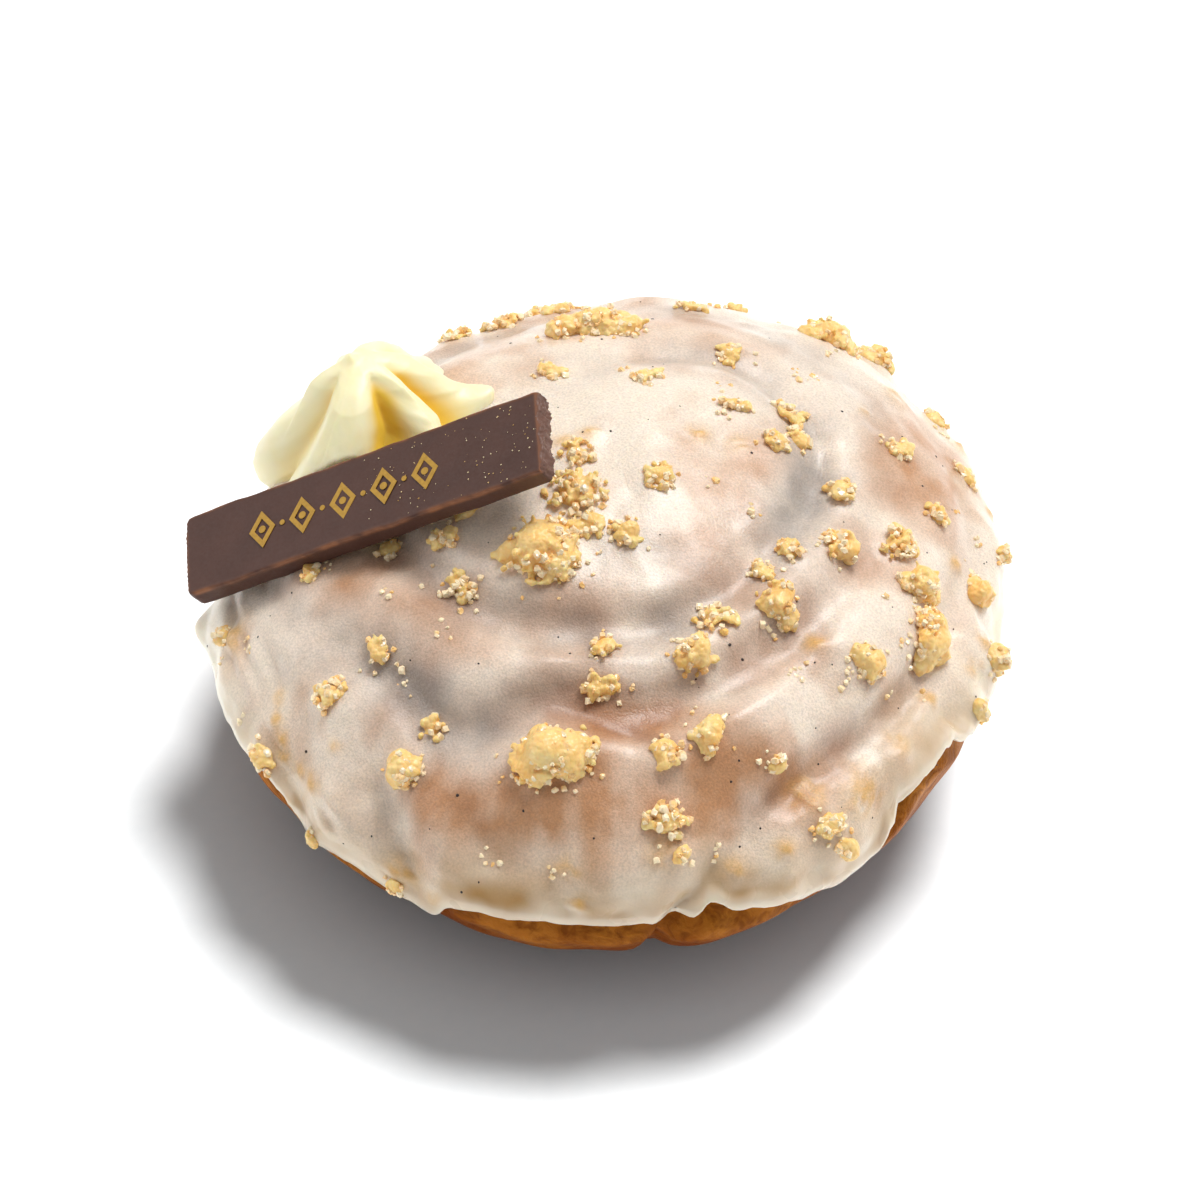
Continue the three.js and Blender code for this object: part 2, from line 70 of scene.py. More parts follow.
# Folds that cross the roll: map x, map y, depth, half width, grey tint, brown tint of painted shade.
FOLDS = (
    ((-46, -8, 0, 1.8, 0, 0), (-44, -15, 1, 1.8, 0, .5), (-40.5, -23, 0, 1.8, 0, 0)),
    ((-39, -10, 0, 2, 0, 0), (-36.5, -18, .8, 2, 0, .5), (-33.5, -27, 0, 2, 0, 0)),
    ((-24, -26, 0, 4, 0, 0), (-25.8, -36, 1.6, 4, .2, .5), (-26, -44, 1.5, 3.6, .2, .3),
     (-25.5, -52, 0, 3, 0, 0)),
    ((36, 17, 0, 2.6, 0, 0), (40, 6, 1, 2.6, 0, .3), (44, -7, .9, 2.6, 0, .3), (44, -16, 0, 2.6, 0, 0)),
    ((33, -33, 0, 3, 0, 0), (36.5, -36.5, 1.1, 2.6, 0, .4), (38, -42, 0, 2, 0, 0)),
    ((-11.5, -26, 0, 1.5, .2, .2), (-8.5, -27.2, .9, 1.5, .1, .7), (-4.8, -28.2, 1.5, 1.6, 0, 1),
     (0, -30.5, 1.6, 1.7, 0, 1), (3.6, -32, 1.1, 1.6, 0, .8), (7.5, -33.4, 0, 1.5, 0, .3)),
    ((5.5, -28.6, 0, 1.5, 0, .3), (8.5, -28, 1, 1.6, 0, .9), (11, -26.8, 1.3, 1.7, 0, 1),
     (15.5, -24.7, 1.1, 1.7, 0, .9), (19.8, -22.2, 0, 1.5, 0, .3)),
    # This fold runs under the bar's lower edge: its brown tint is painted shade under the bar.
    ((-35, -9.5, 0, 2.2, 0, .5), (-30, -10, .6, 2.6, 0, 1), (-24, -10.6, .6, 2.6, 0, 1),
     (-17, -11.4, .4, 2.4, 0, .9), (-12, -13, 0, 2, 0, .4)),
    ((-44, -2, 0, 1.6, 0, .2), (-42.5, -9, .9, 1.5, 0, .5), (-40.5, -16, .9, 1.5, 0, .4),
     (-38.5, -24, 0, 1.6, 0, .1)),
    ((-34, -31, 0, 1.6, 0, 0), (-33.5, -38, .8, 1.6, 0, .2), (-34, -45, 0, 1.6, 0, 0)),
    ((-16, -38, 0, 2, 0, .3), (-13.5, -44, .7, 2.2, 0, .2), (-14, -52, 0, 2, 0, 0)),
    ((-3, -15, 0, 1.8, .2, 0), (3, -13.5, .6, 1.8, .5, .1), (9, -15.5, .5, 1.8, .1, .4),
     (14, -19, 0, 1.6, 0, .2)),
)
# Pillows and dents between the furrows: map x, map y, height, radius.
SWELL = (
    (-8, -25, .9, 6), (12, -31, 1.2, 7), (-33, -15, 1.3, 5.5), (29, -17, 1, 6), (7, 4, .7, 9),
    (2, 8, -.5, 4), (-33, -36, 1.1, 5.5), (-17, -42, .7, 6), (0, -45, .8, 9), (22, -47, 1.3, 8),
    (43, -26, 1, 7), (38, 30, .9, 9), (-20, 38, .8, 9), (-50, -6, 1.4, 5), (-5.5, -30.6, .7, 2.6),
    (-2, -32.6, .7, 2.6), (6, -34, .6, 2.8), (12.8, -29.4, .7, 2.8), (16.8, -26.6, .6, 2.6), (46, 3, .9, 6),
    (6, 34, .7, 8), (-47, -26, .7, 6),
)
# Height of the glaze's edge around the bun: bearing in degrees, height in mm.
EDGE = (
    (-168, 26), (-154, 25.3), (-146, 26), (-141, 24.5), (-137.5, 22.5), (-129, 21.6), (-124, 20.5),
    (-119.5, 19.9), (-116, 18.2), (-112.5, 22.3), (-108, 23.7), (-100, 23.9), (-92, 23.7), (-87, 23.6),
    (-83.5, 23.1), (-80.5, 23.8), (-77.5, 25.9), (-73.5, 23.9), (-69, 23.3), (-62, 21.2), (-55.5, 19.6),
    (-50.5, 20.2), (-48, 24.3), (-45, 26.6), (-40, 27.9), (-33, 28.3), (-29, 26.6), (-24.5, 25.2),
    (-15, 23.7), (-5, 24.5), (5, 23), (14, 25.5), (24, 24), (33, 26.3), (42, 22.5), (50, 21.2), (58, 25),
    (70, 26), (82, 23.3), (93, 24.5), (103, 21), (110, 20.2), (117, 24.5), (130, 25.8), (143, 23),
    (155, 24.7), (167, 22.3), (178, 21.3), (186, 24.5), (192, 26),
)


def smooth(x, low, high):
    t = np.clip((x - low) / (high - low), 0, 1)
    return t * t * (3 - 2 * t)


def peak(x, at, wide):
    return np.exp(-((x - at) / wide) ** 2)


def hill(mx, my, x, y, wide, deep):
    """A soft hill of height 1 on the map, at x, y."""
    return np.exp(-((mx - x) / wide) ** 2 - ((my - y) / deep) ** 2)


def eased(rows, steps):
    """Rounds a list of rows off into many short steps."""
    rows = np.array(rows, float)
    rows = np.vstack([2 * rows[0] - rows[1], rows, 2 * rows[-1] - rows[-2]])
    t = (np.arange(steps) / steps)[:, None]
    out = []
    for a, b, c, d in zip(rows, rows[1:], rows[2:], rows[3:]):
        curve = 2 * b + (c - a) * t + (2 * a - 5 * b + 4 * c - d) * t**2 + (3 * b - 3 * c + d - a) * t**3
        out.append(.5 * curve)
    return np.vstack(out + [rows[-2:-1]])


def laps():
    """The furrows as lists of points, one list for each lap of the roll and for each of the FOLDS."""
    roll = eased(ROLL, 5)
    turn, reach = np.radians(roll[:, 0]), roll[:, 1]
    on_map = np.column_stack([reach * np.cos(turn), reach * np.sin(turn), roll[:, 2:]])
    starts = [int(np.argmax(roll[:, 0] <= ROLL[0][0] - 360 * n)) for n in range(3)] + [len(roll) - 1]
    return [on_map[a:b + 1] for a, b in zip(starts, starts[1:])] + [np.array(fold_shade, float) for fold_shade in FOLDS]


LAPS = laps()


def furrows(mx, my):
    """Depth of the furrow at places of the map, its grey tint, and its tint of painted shade in the furrow's
    floor.
    """
    depth, grey, furrow_shade = np.zeros_like(mx), np.zeros_like(mx), np.zeros_like(mx)
    for rows in LAPS:
        own = np.zeros_like(mx)
        for a, b in zip(rows, rows[1:]):
            u = b[:2] - a[:2]
            t = np.clip(((mx - a[0]) * u[0] + (my - a[1]) * u[1]) / (u @ u), 0, 1)
            away = (mx - a[0] - t * u[0]) ** 2 + (my - a[1] - t * u[1]) ** 2
            here = a[2:, None] + (b - a)[2:, None] * t.ravel()
            deep, half, greyed, browned = here.reshape((4,) + mx.shape)
            own = np.maximum(own, deep * np.exp(-away / half ** 2))
            grey = np.maximum(grey, greyed * np.exp(-away / (1.25 * half) ** 2))
            seen = .65 * np.exp(-away / (.75 * half) ** 2) + .35 * np.exp(-away / (1.5 * half) ** 2)
            furrow_shade = np.maximum(furrow_shade, browned * seen)
        depth += own ** 3  # so that the ridge between two laps is round on top
    return depth ** (1 / 3), grey, furrow_shade


def relief(mx, my):
    """How far the skin stands above the plain bun, in mm."""
    height = -furrows(mx, my)[0]
    for x, y, tall, radius in SWELL:
        height += tall * np.exp(-((mx - x) ** 2 + (my - y) ** 2) / radius**2)
    height += .35 * np.sin(.19 * mx + 1.3) * np.cos(.16 * my - .4)
    height += .22 * np.sin(.33 * my + .21 * mx) * np.sin(.29 * mx - .15 * my + 2)
    return height


def plain(mx, my):
    """The plain bun's surface at places of the map."""
    reach, bearing = np.hypot(mx, my), np.arctan2(my, mx)
    polar = np.clip(reach / WAIST_R, 1e-5, 2 - 1e-5) * math.pi / 2  # 0 at the crown, pi at the foot
    radius = WAIST_R + sum(size * np.cos(n * (bearing - math.radians(at))) for n, size, at in OVAL)
    upper = polar <= math.pi / 2
    power = 2 / np.where(upper, CROWN_POWER, BELLY_POWER)
    out = radius * np.abs(np.sin(polar)) ** power
    rise = np.abs(np.cos(polar)) ** power
    lean = np.where(upper, rise, 0)
    return np.stack([out * np.cos(bearing) + CROWN_LEAN[0] * lean,
                     out * np.sin(bearing) + CROWN_LEAN[1] * lean,
                     WAIST_Z + np.where(upper, CROWN, -BELLY) * rise], -1)


def facing(mx, my):
    """The way that the plain bun's surface faces."""
    across = plain(mx + .01, my) - plain(mx - .01, my)
    along = plain(mx, my + .01) - plain(mx, my - .01)
    out = np.cross(across, along)
    return out / np.linalg.norm(out, axis=-1, keepdims=True)


def skin(mx, my, raised):
    """A point of the bun's skin, raised off the plain bun by so many mm."""
    return plain(mx, my) + facing(mx, my) * np.asarray(raised)[..., None]


def edge_height(bearing):
    """Height of the glaze's edge, bearing in radians."""
    turn = np.degrees(bearing)
    turn = np.where(turn < EDGE[0][0], turn + 360, turn)
    at, tall = np.array(EDGE).T
    i = np.clip(np.searchsorted(at, turn), 1, len(at) - 1)
    return tall[i - 1] + (tall[i] - tall[i - 1]) * smooth((turn - at[i - 1]) / (at[i] - at[i - 1]), 0, 1)


def apply(piece, kind, **settings):
    """Gives the piece at hand one of Blender's modifiers, and applies it."""
    modifier = piece.modifiers.new(kind.lower(), kind)
    for key, value in settings.items():
        setattr(modifier, key, value)
    bpy.ops.object.modifier_apply(modifier=modifier.name)


def primitive(name, add, finer=0, **settings):
    """Adds a primitive with nothing else selected, and splits each of its faces in four so many times."""
    bpy.ops.object.select_all(action="DESELECT")
    add(**settings)
    piece = bpy.context.object
    piece.name = piece.data.name = name
    if finer:
        apply(piece, "SUBSURF", subdivision_type="SIMPLE", levels=finer, render_levels=finer)
    return piece


def points(piece):
    at = np.empty(len(piece.data.vertices) * 3)
    piece.data.vertices.foreach_get("co", at)
    return at.reshape(-1, 3)


def place_points(piece, at):
    """Puts a piece's points at rows of x, y, z in mm."""
    piece.data.vertices.foreach_set("co", (at * MM).ravel())
    piece.data.update()


def reshape(piece, place):
    """Moves a sphere's points to place(bearing, fall), with fall 0 at its top pole and 1 at its bottom."""
    at = points(piece)
    unit = at / np.linalg.norm(at, axis=1, keepdims=True)
    fall = np.arccos(np.clip(unit[:, 2], -1, 1)) / math.pi
    bearing = np.arctan2(unit[:, 1], unit[:, 0])
    place_points(piece, place(bearing, fall))
    bpy.ops.object.shade_smooth()
    return bearing, fall


def mark(piece, name, values):
    """Keeps one number for each point of a piece, for its material to read."""
    layer = piece.data.attributes.new(name, "FLOAT", "POINT")
    layer.data.foreach_set("value", np.ascontiguousarray(values, float))


def colour(code):
    """An sRGB hex colour as linear RGBA."""
    parts = [int(code[i:i + 2], 16) / 255 for i in (1, 3, 5)]
    return [p / 12.92 if p <= .04045 else ((p + .055) / 1.055) ** 2.4 for p in parts] + [1]


def feed(node, inputs):
    """Fills a node's inputs, by name or number, each with a node, a socket, an sRGB hex colour or a value."""
    for key, value in inputs.items():
        socket = node.inputs[key] if isinstance(key, int) else next(
            s for s in node.inputs if s.name == key and s.enabled)
        if isinstance(value, bpy.types.Node):
            value = next(s for s in value.outputs if s.enabled)
        if isinstance(value, bpy.types.NodeSocket):
            node.id_data.links.new(value, socket)
        else:
            socket.default_value = colour(value) if isinstance(value, str) else value


def add_node(tree, kind, inputs=None, stops=(), **settings):
    """Adds a shader node with its settings, its inputs and, on a ramp, its stops."""
    made = tree.nodes.new("ShaderNode" + kind)
    for key, value in settings.items():
        setattr(made, key, value)
    feed(made, inputs or {})
    for i, (at, tint) in enumerate(stops):
        made.color_ramp.elements[i].position = at
        made.color_ramp.elements[i].color = colour(tint)
    return made


def new_material(name):
    """A material, its shader, the function that adds a node to it, and the place on the object."""
    material = bpy.data.materials.new(name)
    material.use_nodes = True
    node = partial(add_node, material.node_tree)
    return material, material.node_tree.nodes["Principled BSDF"], node, node("TexCoord").outputs["Object"]


UNDER_GLAZE = 2  # mm that the dough lies under the glaze's outside
BARE_CRUST = 1.45  # mm that it stands out again where it is bare
TAIL_LOBE = 14, -62, 8, 9  # the tail's fat end, right of the crease: map x, map y, width, depth
TAIL_BANK = -6, -62, 9, 9  # and the lower bank on its other side
OIL_LINE = 15  # mm above the foot, where the bun floated in the oil


def dough_place(bearing, fall):
    reach = np.interp(fall, (0, .14, .84, 1), (0, 46, 94, 110))
    mx, my = reach * np.cos(bearing), reach * np.sin(bearing)
    z = plain(mx, my)[..., 2]
    below = smooth(edge_height(bearing) - 1 - z, 0, 4)
    tail = 1.1 * hill(mx, my, *TAIL_LOBE) + .5 * hill(mx, my, *TAIL_BANK)
    # The crust is a little creased all over, with a shallow step at the oil line.
    creased = .18 * np.sin(9 * bearing + .12 * reach) * np.sin(.33 * reach + 3 * bearing)
    creased = creased + .1 * np.sin(23 * bearing - .2 * reach)
    belt = .35 * peak(z - OIL_LINE, np.sin(3 * bearing), 1.6)
    raised = relief(mx, my) - UNDER_GLAZE + below * (BARE_CRUST + tail + creased - belt)
    point = skin(mx, my, raised)
    point[..., 2] = np.maximum(point[..., 2], 0)
    return point


ball = bpy.ops.mesh.primitive_uv_sphere_add
dough = primitive("fried_scroll_dough", ball, finer=2, segments=80, ring_count=32, radius=1)
bearing, fall = reshape(dough, dough_place)

# Fried yeast dough: a thin deep-brown skin, darker towards its foot and paler higher up, faintly oily and
# finely pored.
fried, shader, node, spot = new_material("fried_yeast_dough")
height = node("SeparateXYZ", {"Vector": spot}).outputs["Z"]
blotches = node("TexNoise", {"Vector": spot, "Scale": 1 / (12 * MM), "Detail": 4, "Roughness": .55})
pores = node("TexNoise", {"Vector": spot, "Scale": 1 / (.6 * MM), "Detail": 3, "Roughness": .6})
wrinkles = node("TexNoise", {"Vector": spot, "Scale": 1 / (2.4 * MM), "Detail": 5, "Roughness": .62,
                             "Distortion": .8})
browned = node("ValToRGB", {"Fac": blotches}, stops=((.3, "#8a4506"), (.72, "#c67e2c")))
band = node("MapRange", {"Value": height, "From Min": 9 * MM, "From Max": 23 * MM},
            interpolation_type="SMOOTHSTEP")
crust = node("Mix", {"Factor": band, "A": "#612600", "B": browned}, data_type="RGBA")
# The crust is darker in the low creases of the wrinkles' bump: painted shade in the creases, as well as
# darker mottling of the crust.
dark = node("MapRange", {"Value": wrinkles, "From Min": .38, "From Max": .56, "To Min": .6, "To Max": 0})
crust = node("Mix", {"Factor": dark, "A": crust, "B": "#622a00"}, data_type="RGBA")
pored = node("Bump", {"Height": pores, "Strength": .5, "Distance": .2 * MM})
creased = node("Bump", {"Height": wrinkles, "Strength": .55, "Distance": .6 * MM, "Normal": pored})
feed(shader, {"Base Color": crust, "Normal": creased, "Roughness": .45, "Specular IOR Level": .04,
              "Subsurface Weight": .1, "Subsurface Radius": (.0012, .0006, .0003), "Subsurface Scale": 1})
dough.data.materials.append(fried)
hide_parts("scroll_dough")
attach(dough, "root")

# -------------------- the sugar glaze
# Off-white icing sugar and milk, poured over the warm bun. It is thin and half
# clear on the shoulders, where the dough shows through it, and thick at its wavy
# lower edge, where it set as it ran.
GLAZE = 1.3  # mm thick at the lip
BEAD = 1.4  # mm from the edge to the top of its thick bead
LIP = .82, .88  # the part of the sphere's way from pole to pole that goes round the lip


def cloud(x, y, size, seed, octaves=3):
    """Soft seeded noise, about -1 to 1, with features so many mm across."""
    places = zip(np.ravel(x), np.ravel(y))
    found = [noise.fractal((u / size, v / size, seed), 1, 2, octaves) for u, v in places]
    return np.array(found).reshape(np.shape(x))


def jags(bearing):
    """The small torn teeth of the edge, in mm: long and smooth in front, ragged at the right and the back."""
    turn = np.degrees(bearing)
    ragged = .65
    for at, wide, more in ((-34, 15, .9), (96, 22, .6), (160, 14, .6)):
        ragged = ragged + more * peak(turn, at, wide)
    x, y = WAIST_R * np.cos(bearing), WAIST_R * np.sin(bearing)
    teeth = .5 * cloud(x, y, 3.1, 5.5, 2) + .3 * cloud(x, y, 1.3, 7.7, 2)
    return .7 * cloud(x, y, 8, 3.1, 2) + ragged * teeth


def edge_reach(bearing):
    """The edge's way from the crown, in mm."""
    z = edge_height(bearing) + jags(bearing)
    upper = z > WAIST_Z
    rise = np.abs(z - WAIST_Z) / np.where(upper, CROWN, BELLY)
    polar = np.arccos(rise ** (np.where(upper, CROWN_POWER, BELLY_POWER) / 2))
    return np.where(upper, polar, math.pi - polar) / (math.pi / 2) * WAIST_R


# Where the crumble clumps lie, as the glaze set in a rise round each: map x, map y, width, depth, in mm.
CLUMPS = (
    (-1, 20.6, 12, 7), (-6, 32, 5, 4), (-12.5, 31, 5.5, 4), (-18, 30.6, 4.5, 4), (22, 26.2, 8.5, 6.5),
    (-5.9, 11.3, 4.6, 4.2), (11, 15, 5, 3.5), (3.3, 8.9, 4.6, 4.2), (11.6, 5.4, 4.8, 4), (17.3, 7, 4.2, 4.4),
    (18.4, 3.6, 3.8, 4), (15.9, 1.2, 3.4, 3.8), (4.4, -6, 4.2, 3.8), (-3.3, -3.3, 4, 4.4),
    (-3.2, -7.6, 6.6, 5.6), (-6.6, -13.6, 9.4, 8.6), (-1.9, -11.4, 4.2, 4.4), (1.9, -11.8, 3.8, 4),
    (-13.9, -16, 4.2, 4.8), (-23, -20.3, 5, 3.8), (-28.5, -23.9, 4.6, 4.8), (-21.9, -33.1, 5, 5.6),
    (-18.1, -29, 3.2, 3), (-6.3, -33, 11, 7.6), (-.2, -22.8, 4.4, 3.6), (-.7, -26.8, 4.8, 3.6),
    (8, -23.6, 5.2, 5), (9.8, -19.8, 5, 3.8), (16.2, -17.6, 5.6, 6.4), (17.4, -11.3, 3.6, 3.4),
    (14.8, -14, 3.6, 3.2), (23.7, -9.8, 6, 5), (35.4, -16.6, 7.6, 8.4), (26.6, -21.9, 6, 4.6),
    (32.6, -10.3, 7.4, 6.4), (29.6, -6.6, 5, 5.4), (9.2, -31.8, 4.4, 6.4), (5, -33.4, 4, 3.8),
    (16.9, -34.4, 3.2, 3), (5.2, -40.4, 5.4, 5), (6.4, -44.2, 6, 3), (24.4, -40.6, 5.2, 4.8),
    (28.2, -43.6, 5.6, 4.4), (43, -6, 5, 5.4), (47.4, -13.3, 5, 5.2), (46.6, -21.6, 5, 4.2),
    (34.4, .2, 3.6, 3.4), (22.6, -2.2, 3.8, 3.8), (29, 7.6, 4.2, 4.8), (-45, -11, 3.6, 3.2),
    (-42, -28, 3.2, 6), (-40, -40.5, 4.6, 3.6), (-29, -48.6, 3, 4.2),
    # partly under the bar, and on the back and the sides that the picture doesn't show
    (-30.1, -9.6, 5, 3), (-21.7, -9.4, 4.2, 3), (-15.7, -10.6, 4.4, 4), (-13, -8.6, 3.4, 3),
    (-8.5, 39, 6, 5), (14, 36, 5, 4.4), (30, 33, 6.5, 5), (41, 14, 4.4, 4), (-1, 46, 4.6, 4),
    (-22, 39, 4, 4.6), (-33, 34, 5, 4), (22, 45, 4, 3.6), (47, 4, 3.6, 4), (38, 25, 3.6, 3.4),
    (8, 27.5, 3.6, 3),
)
# Crumbs that the glaze ran over, which show as soft yellow lumps: map x, map y, radius in mm.
BURIED = (
    (-43.1, -11.9, 2.4), (-37, -22.2, 1.3), (-37.9, -24.6, 1.2), (-38, -27.1, 1.4), (-39.1, -29, 1.3),
    (-36.4, -31.6, 1.2), (-34.5, -33.3, 1.8), (-42.3, -35.5, 1.6), (-28.1, -47.8, 2.6), (-5.3, -46.4, 1.8),
    (-4.5, -51.5, 1.4), (19.3, -44.4, 1.6), (13.5, -47.1, 1.6), (5.1, -44.9, 2), (21.6, -37.4, 2.6),
    (29.2, -36.7, 3.8), (33.2, -29.9, 1.6), (37.9, -23.2, 1.6), (45.2, -12.5, 1.8), (44, -16.4, 1.8),
    (45.1, -5.9, 1.5), (20.5, -21.2, 1.3), (39, -3.8, 1.3), (8.9, .6, 1.3), (12.7, .1, 1.2),
    (-29.6, -30.1, 1), (-24.2, -51.8, 1.2), (-4.7, -1.4, 1.4), (-2.2, -.3, 1.2), (30, 20, 2), (41, 22, 1.8),
    (12, 40, 2.2), (-20, 44, 1.8), (-38, 30, 2.4), (-47, 12, 1.8), (2, 49, 1.6), (33, 38, 2), (26, 12, 1.4),
    (-30, 40, 1.5), (47, 12, 1.6),
)


def buried(mx, my):
    """How plainly a buried crumb shows, 0 to about 1."""
    shown = np.zeros_like(mx)
    for x, y, radius in BURIED:
        shown = np.maximum(shown, np.exp(-((mx - x) ** 2 + (my - y) ** 2) / (.85 * radius) ** 2))
    return shown * np.clip(.75 + 1.3 * cloud(mx, my, 1.7, 2.8, 2), .1, 1.2)


def glaze_top(mx, my, back):
    """Height of the glaze's outside; back is the way in from its edge, in mm."""
    bearing, reach = np.arctan2(my, mx), np.hypot(mx, my)
    bead = .5 * peak(back, BEAD, 1.5)
    # It ran down and set in faint tongues, and lies a little uneven all over.
    tongues = cloud(10 * np.cos(bearing), 10 * np.sin(bearing), 1.5, 1.5, 2) * 1.1
    tongues = tongues * smooth(reach, 34, 48) * smooth(back, 0, 5)
    uneven = .6 * cloud(mx, my, 10, 5.2, 3) + .1 * cloud(mx, my, 2.6, 9.4, 2)
    # The furrow is narrow at the bottom, and its banks are softly puffed up here and there.
    deep = furrows(mx, my)[0] / 1.7
    banks = .35 * smooth(deep, .02, .3) * (1 - smooth(deep, .3, .75))
    puffed = banks * np.clip(.3 + 1.4 * cloud(mx, my, 9, 7.1, 2), 0, 1) - .5 * smooth(deep, .55, 1)
    flap = 2.1 * hill(mx, my, -52.5, -4.6, 2.4, 2.6)  # a corner that set standing off the bun
    # It set in a low rise round each clump.
    risen = np.zeros_like(mx)
    for x, y, wide, tall in CLUMPS:
        away = ((mx - x) / (.62 * wide)) ** 2 + ((my - y) / (.62 * tall)) ** 2
        risen = np.maximum(risen, np.exp(-away ** 1.5))
    inland = (uneven + puffed) * smooth(back, 0, 4)
    return relief(mx, my) + bead + tongues + flap + inland + .45 * buried(mx, my) + .4 * risen


def glaze_place(bearing, fall):
    """Down the outside to the edge, round the lip, and back up the inside."""
    edge = edge_reach(bearing)
    half = GLAZE / 2
    turn = np.interp(fall, LIP, (math.pi / 2, -math.pi / 2))
    outside = np.interp(fall, (0, .74, LIP[0]), (1, .05, 0)) * (edge - half) + half
    inside = np.interp(fall, (LIP[1], 1), (0, 1)) * (edge - half) + half
    parts = [fall < LIP[0], fall < LIP[1]]
    back = np.select(parts, [outside, half * (1 - np.cos(turn))], inside)
    lift = np.select(parts, [np.zeros_like(fall), half * (np.sin(turn) - 1)], -GLAZE)
    reach = edge - back
    mx, my = reach * np.cos(bearing), reach * np.sin(bearing)
    return skin(mx, my, glaze_top(mx, my, np.maximum(back, BEAD)) + lift)


glaze = primitive("sugar_icing", ball, finer=2, segments=160, ring_count=38, radius=1)
bearing, fall = reshape(glaze, glaze_place)
edge = edge_reach(bearing)
back = np.interp(fall, (0, .74, LIP[0], 1), (1, .05, 0, 0)) * edge
mx, my = (edge - back) * np.cos(bearing), (edge - back) * np.sin(bearing)
_, grey, furrow_shade = furrows(mx, my)
# Where the tan of the dough shows through most in front, with painted shade under the bar at -27, -14: map x,
# map y, width, depth, strength.
THIN_AND_SHADE = (
    (-4, -38, 15, 6, .9), (13, -35, 10, 5, .9), (24, -34, 6, 5, .6), (-20, -27, 5, 3, .3),
    (-19, -37, 7, 5, .45), (-27, -22, 3, 3, .3), (-12, -23, 5, 3, .35), (2, -31, 6, 3, .7),
    (26, -25, 6, 4, .45), (-17, -17, 7, 4, .45), (9, -13, 8, 4, .25), (35, -8, 4, 7, .2),
    # The first spot on the next row lies under the bar's lower edge; its tan is painted shade under the bar.
    (-27, -14, 4, 3, .7), (-5, -24, 4, 2.5, .5), (-6, -19, 6, 3, .5),
)
thin_and_painted_light = np.zeros_like(mx)
for x, y, wide, deep, much in THIN_AND_SHADE:
    thin_and_painted_light = np.maximum(thin_and_painted_light, much * hill(mx, my, x, y, wide, deep))
# Where it lies thick and white, in the same way. On the banks of the front furrows and on the lit ridges at
# the left and the right, this white is also a painted highlight.
THICK_AND_HIGHLIGHT = (
    (45, -2, 6, 15, 1), (-34, -15.5, 6, 5, .8), (40, -23, 5, 6, .7), (-5, -26.2, 6, 2.2, .5),
    (14, -28, 8, 3, .5), (-42, -2, 4, 6, .5), (0, 5, 9, 9, .5), (-38, -20, 2.2, 9, .6),
)
# It is thin in a broken ring at the back, and uneven all over.
around = smooth(my, -12, 4) * peak(edge - back, 38, 9) * smooth(cloud(mx, my, 17, 2.2, 2), -.25, .45)
thin_and_painted_light = np.maximum(thin_and_painted_light, .6 * around) + .7 * cloud(mx, my, 10, 4.4, 3) + .12
# It is streaked where it ran down the flanks.
bearing = np.arctan2(my, mx)
streaks = cloud(14 * np.cos(bearing), 14 * np.sin(bearing), 1.7, 4.9, 3)
thin_and_painted_light = thin_and_painted_light + .55 * streaks * smooth(np.hypot(mx, my), 24, 44)
for x, y, wide, deep, much in THICK_AND_HIGHLIGHT:
    thin_and_painted_light -= much * hill(mx, my, x, y, wide, deep)
# This milky share also carries the painted highlights of the white spots and the painted shade under the bar.
mark(glaze, "milk_and_highlight", 1 - np.clip(thin_and_painted_light + .25 * np.clip(-cloud(mx, my, 4, 6.1, 2), 0, 1), 0, 1))
mark(glaze, "cinnamon", np.clip(grey * (.75 + .8 * cloud(mx, my, 5, 8.3, 3)), 0, 1))
mark(glaze, "browned", np.clip(furrow_shade * (.7 + .9 * cloud(mx, my, 6, 3.7, 3)), 0, 1))
mark(glaze, "buried_crumb", buried(mx, my))
mark(glaze, "rim", peak(back, 0, 6.5 + 4 * cloud(mx, my, 12, 1.1, 2)))
# A pale line along the lip, for a painted highlight there.
mark(glaze, "lip", peak(back, 0, 1.9))
# Painted shade: the thick rim is darker and yellow-brown at the front, the side turned away from the key
# light.
front = smooth(np.cos(bearing + 1.5), .1, .95)
mark(glaze, "front_rim_shade", peak(back, 0, 8) * front * (.75 + .6 * cloud(mx, my, 6, 8.8, 2)))

# Sugar glaze: milky, with the tan of the dough showing through where it is thin,
# grey-lilac where cinnamon lies in the furrow, cream at the thick rim. Its colour also holds
# painted light: painted shade browns the furrow's floor, the glaze under the bar and the front
# of the rim, and painted highlights whiten lit banks and ridges and run along the lip. It set
# with a fine dry grain, partly painted sparkle and pit shade, and is wet-looking where it pooled.
icing, shader, node, spot = new_material("sugar_glaze")
clouds = node("TexNoise", {"Vector": spot, "Scale": 1 / (11 * MM), "Detail": 3, "Roughness": .55})
mottle = node("TexNoise", {"Vector": spot, "Scale": 1 / (1.6 * MM), "Detail": 4, "Roughness": .65})
grain = node("TexNoise", {"Vector": spot, "Scale": 1 / (.3 * MM), "Detail": 1, "Roughness": .6})
milk_and_highlight = node("Attribute", attribute_name="milk_and_highlight").outputs["Fac"]
rim = node("Attribute", attribute_name="rim").outputs["Fac"]
grain = node("Mix", {"Factor": rim, "A": grain, "B": .5})  # the thick rim set smooth
uneven = node("Math", {0: mottle, 1: .3, 2: -.15}, operation="MULTIPLY_ADD")
milky_and_highlight = node("Math", {0: milk_and_highlight, 1: uneven}, operation="ADD", use_clamp=True)
body = node("Mix", {"Factor": milky_and_highlight, "A": "#c39067", "B": "#f3e1cf"}, data_type="RGBA")
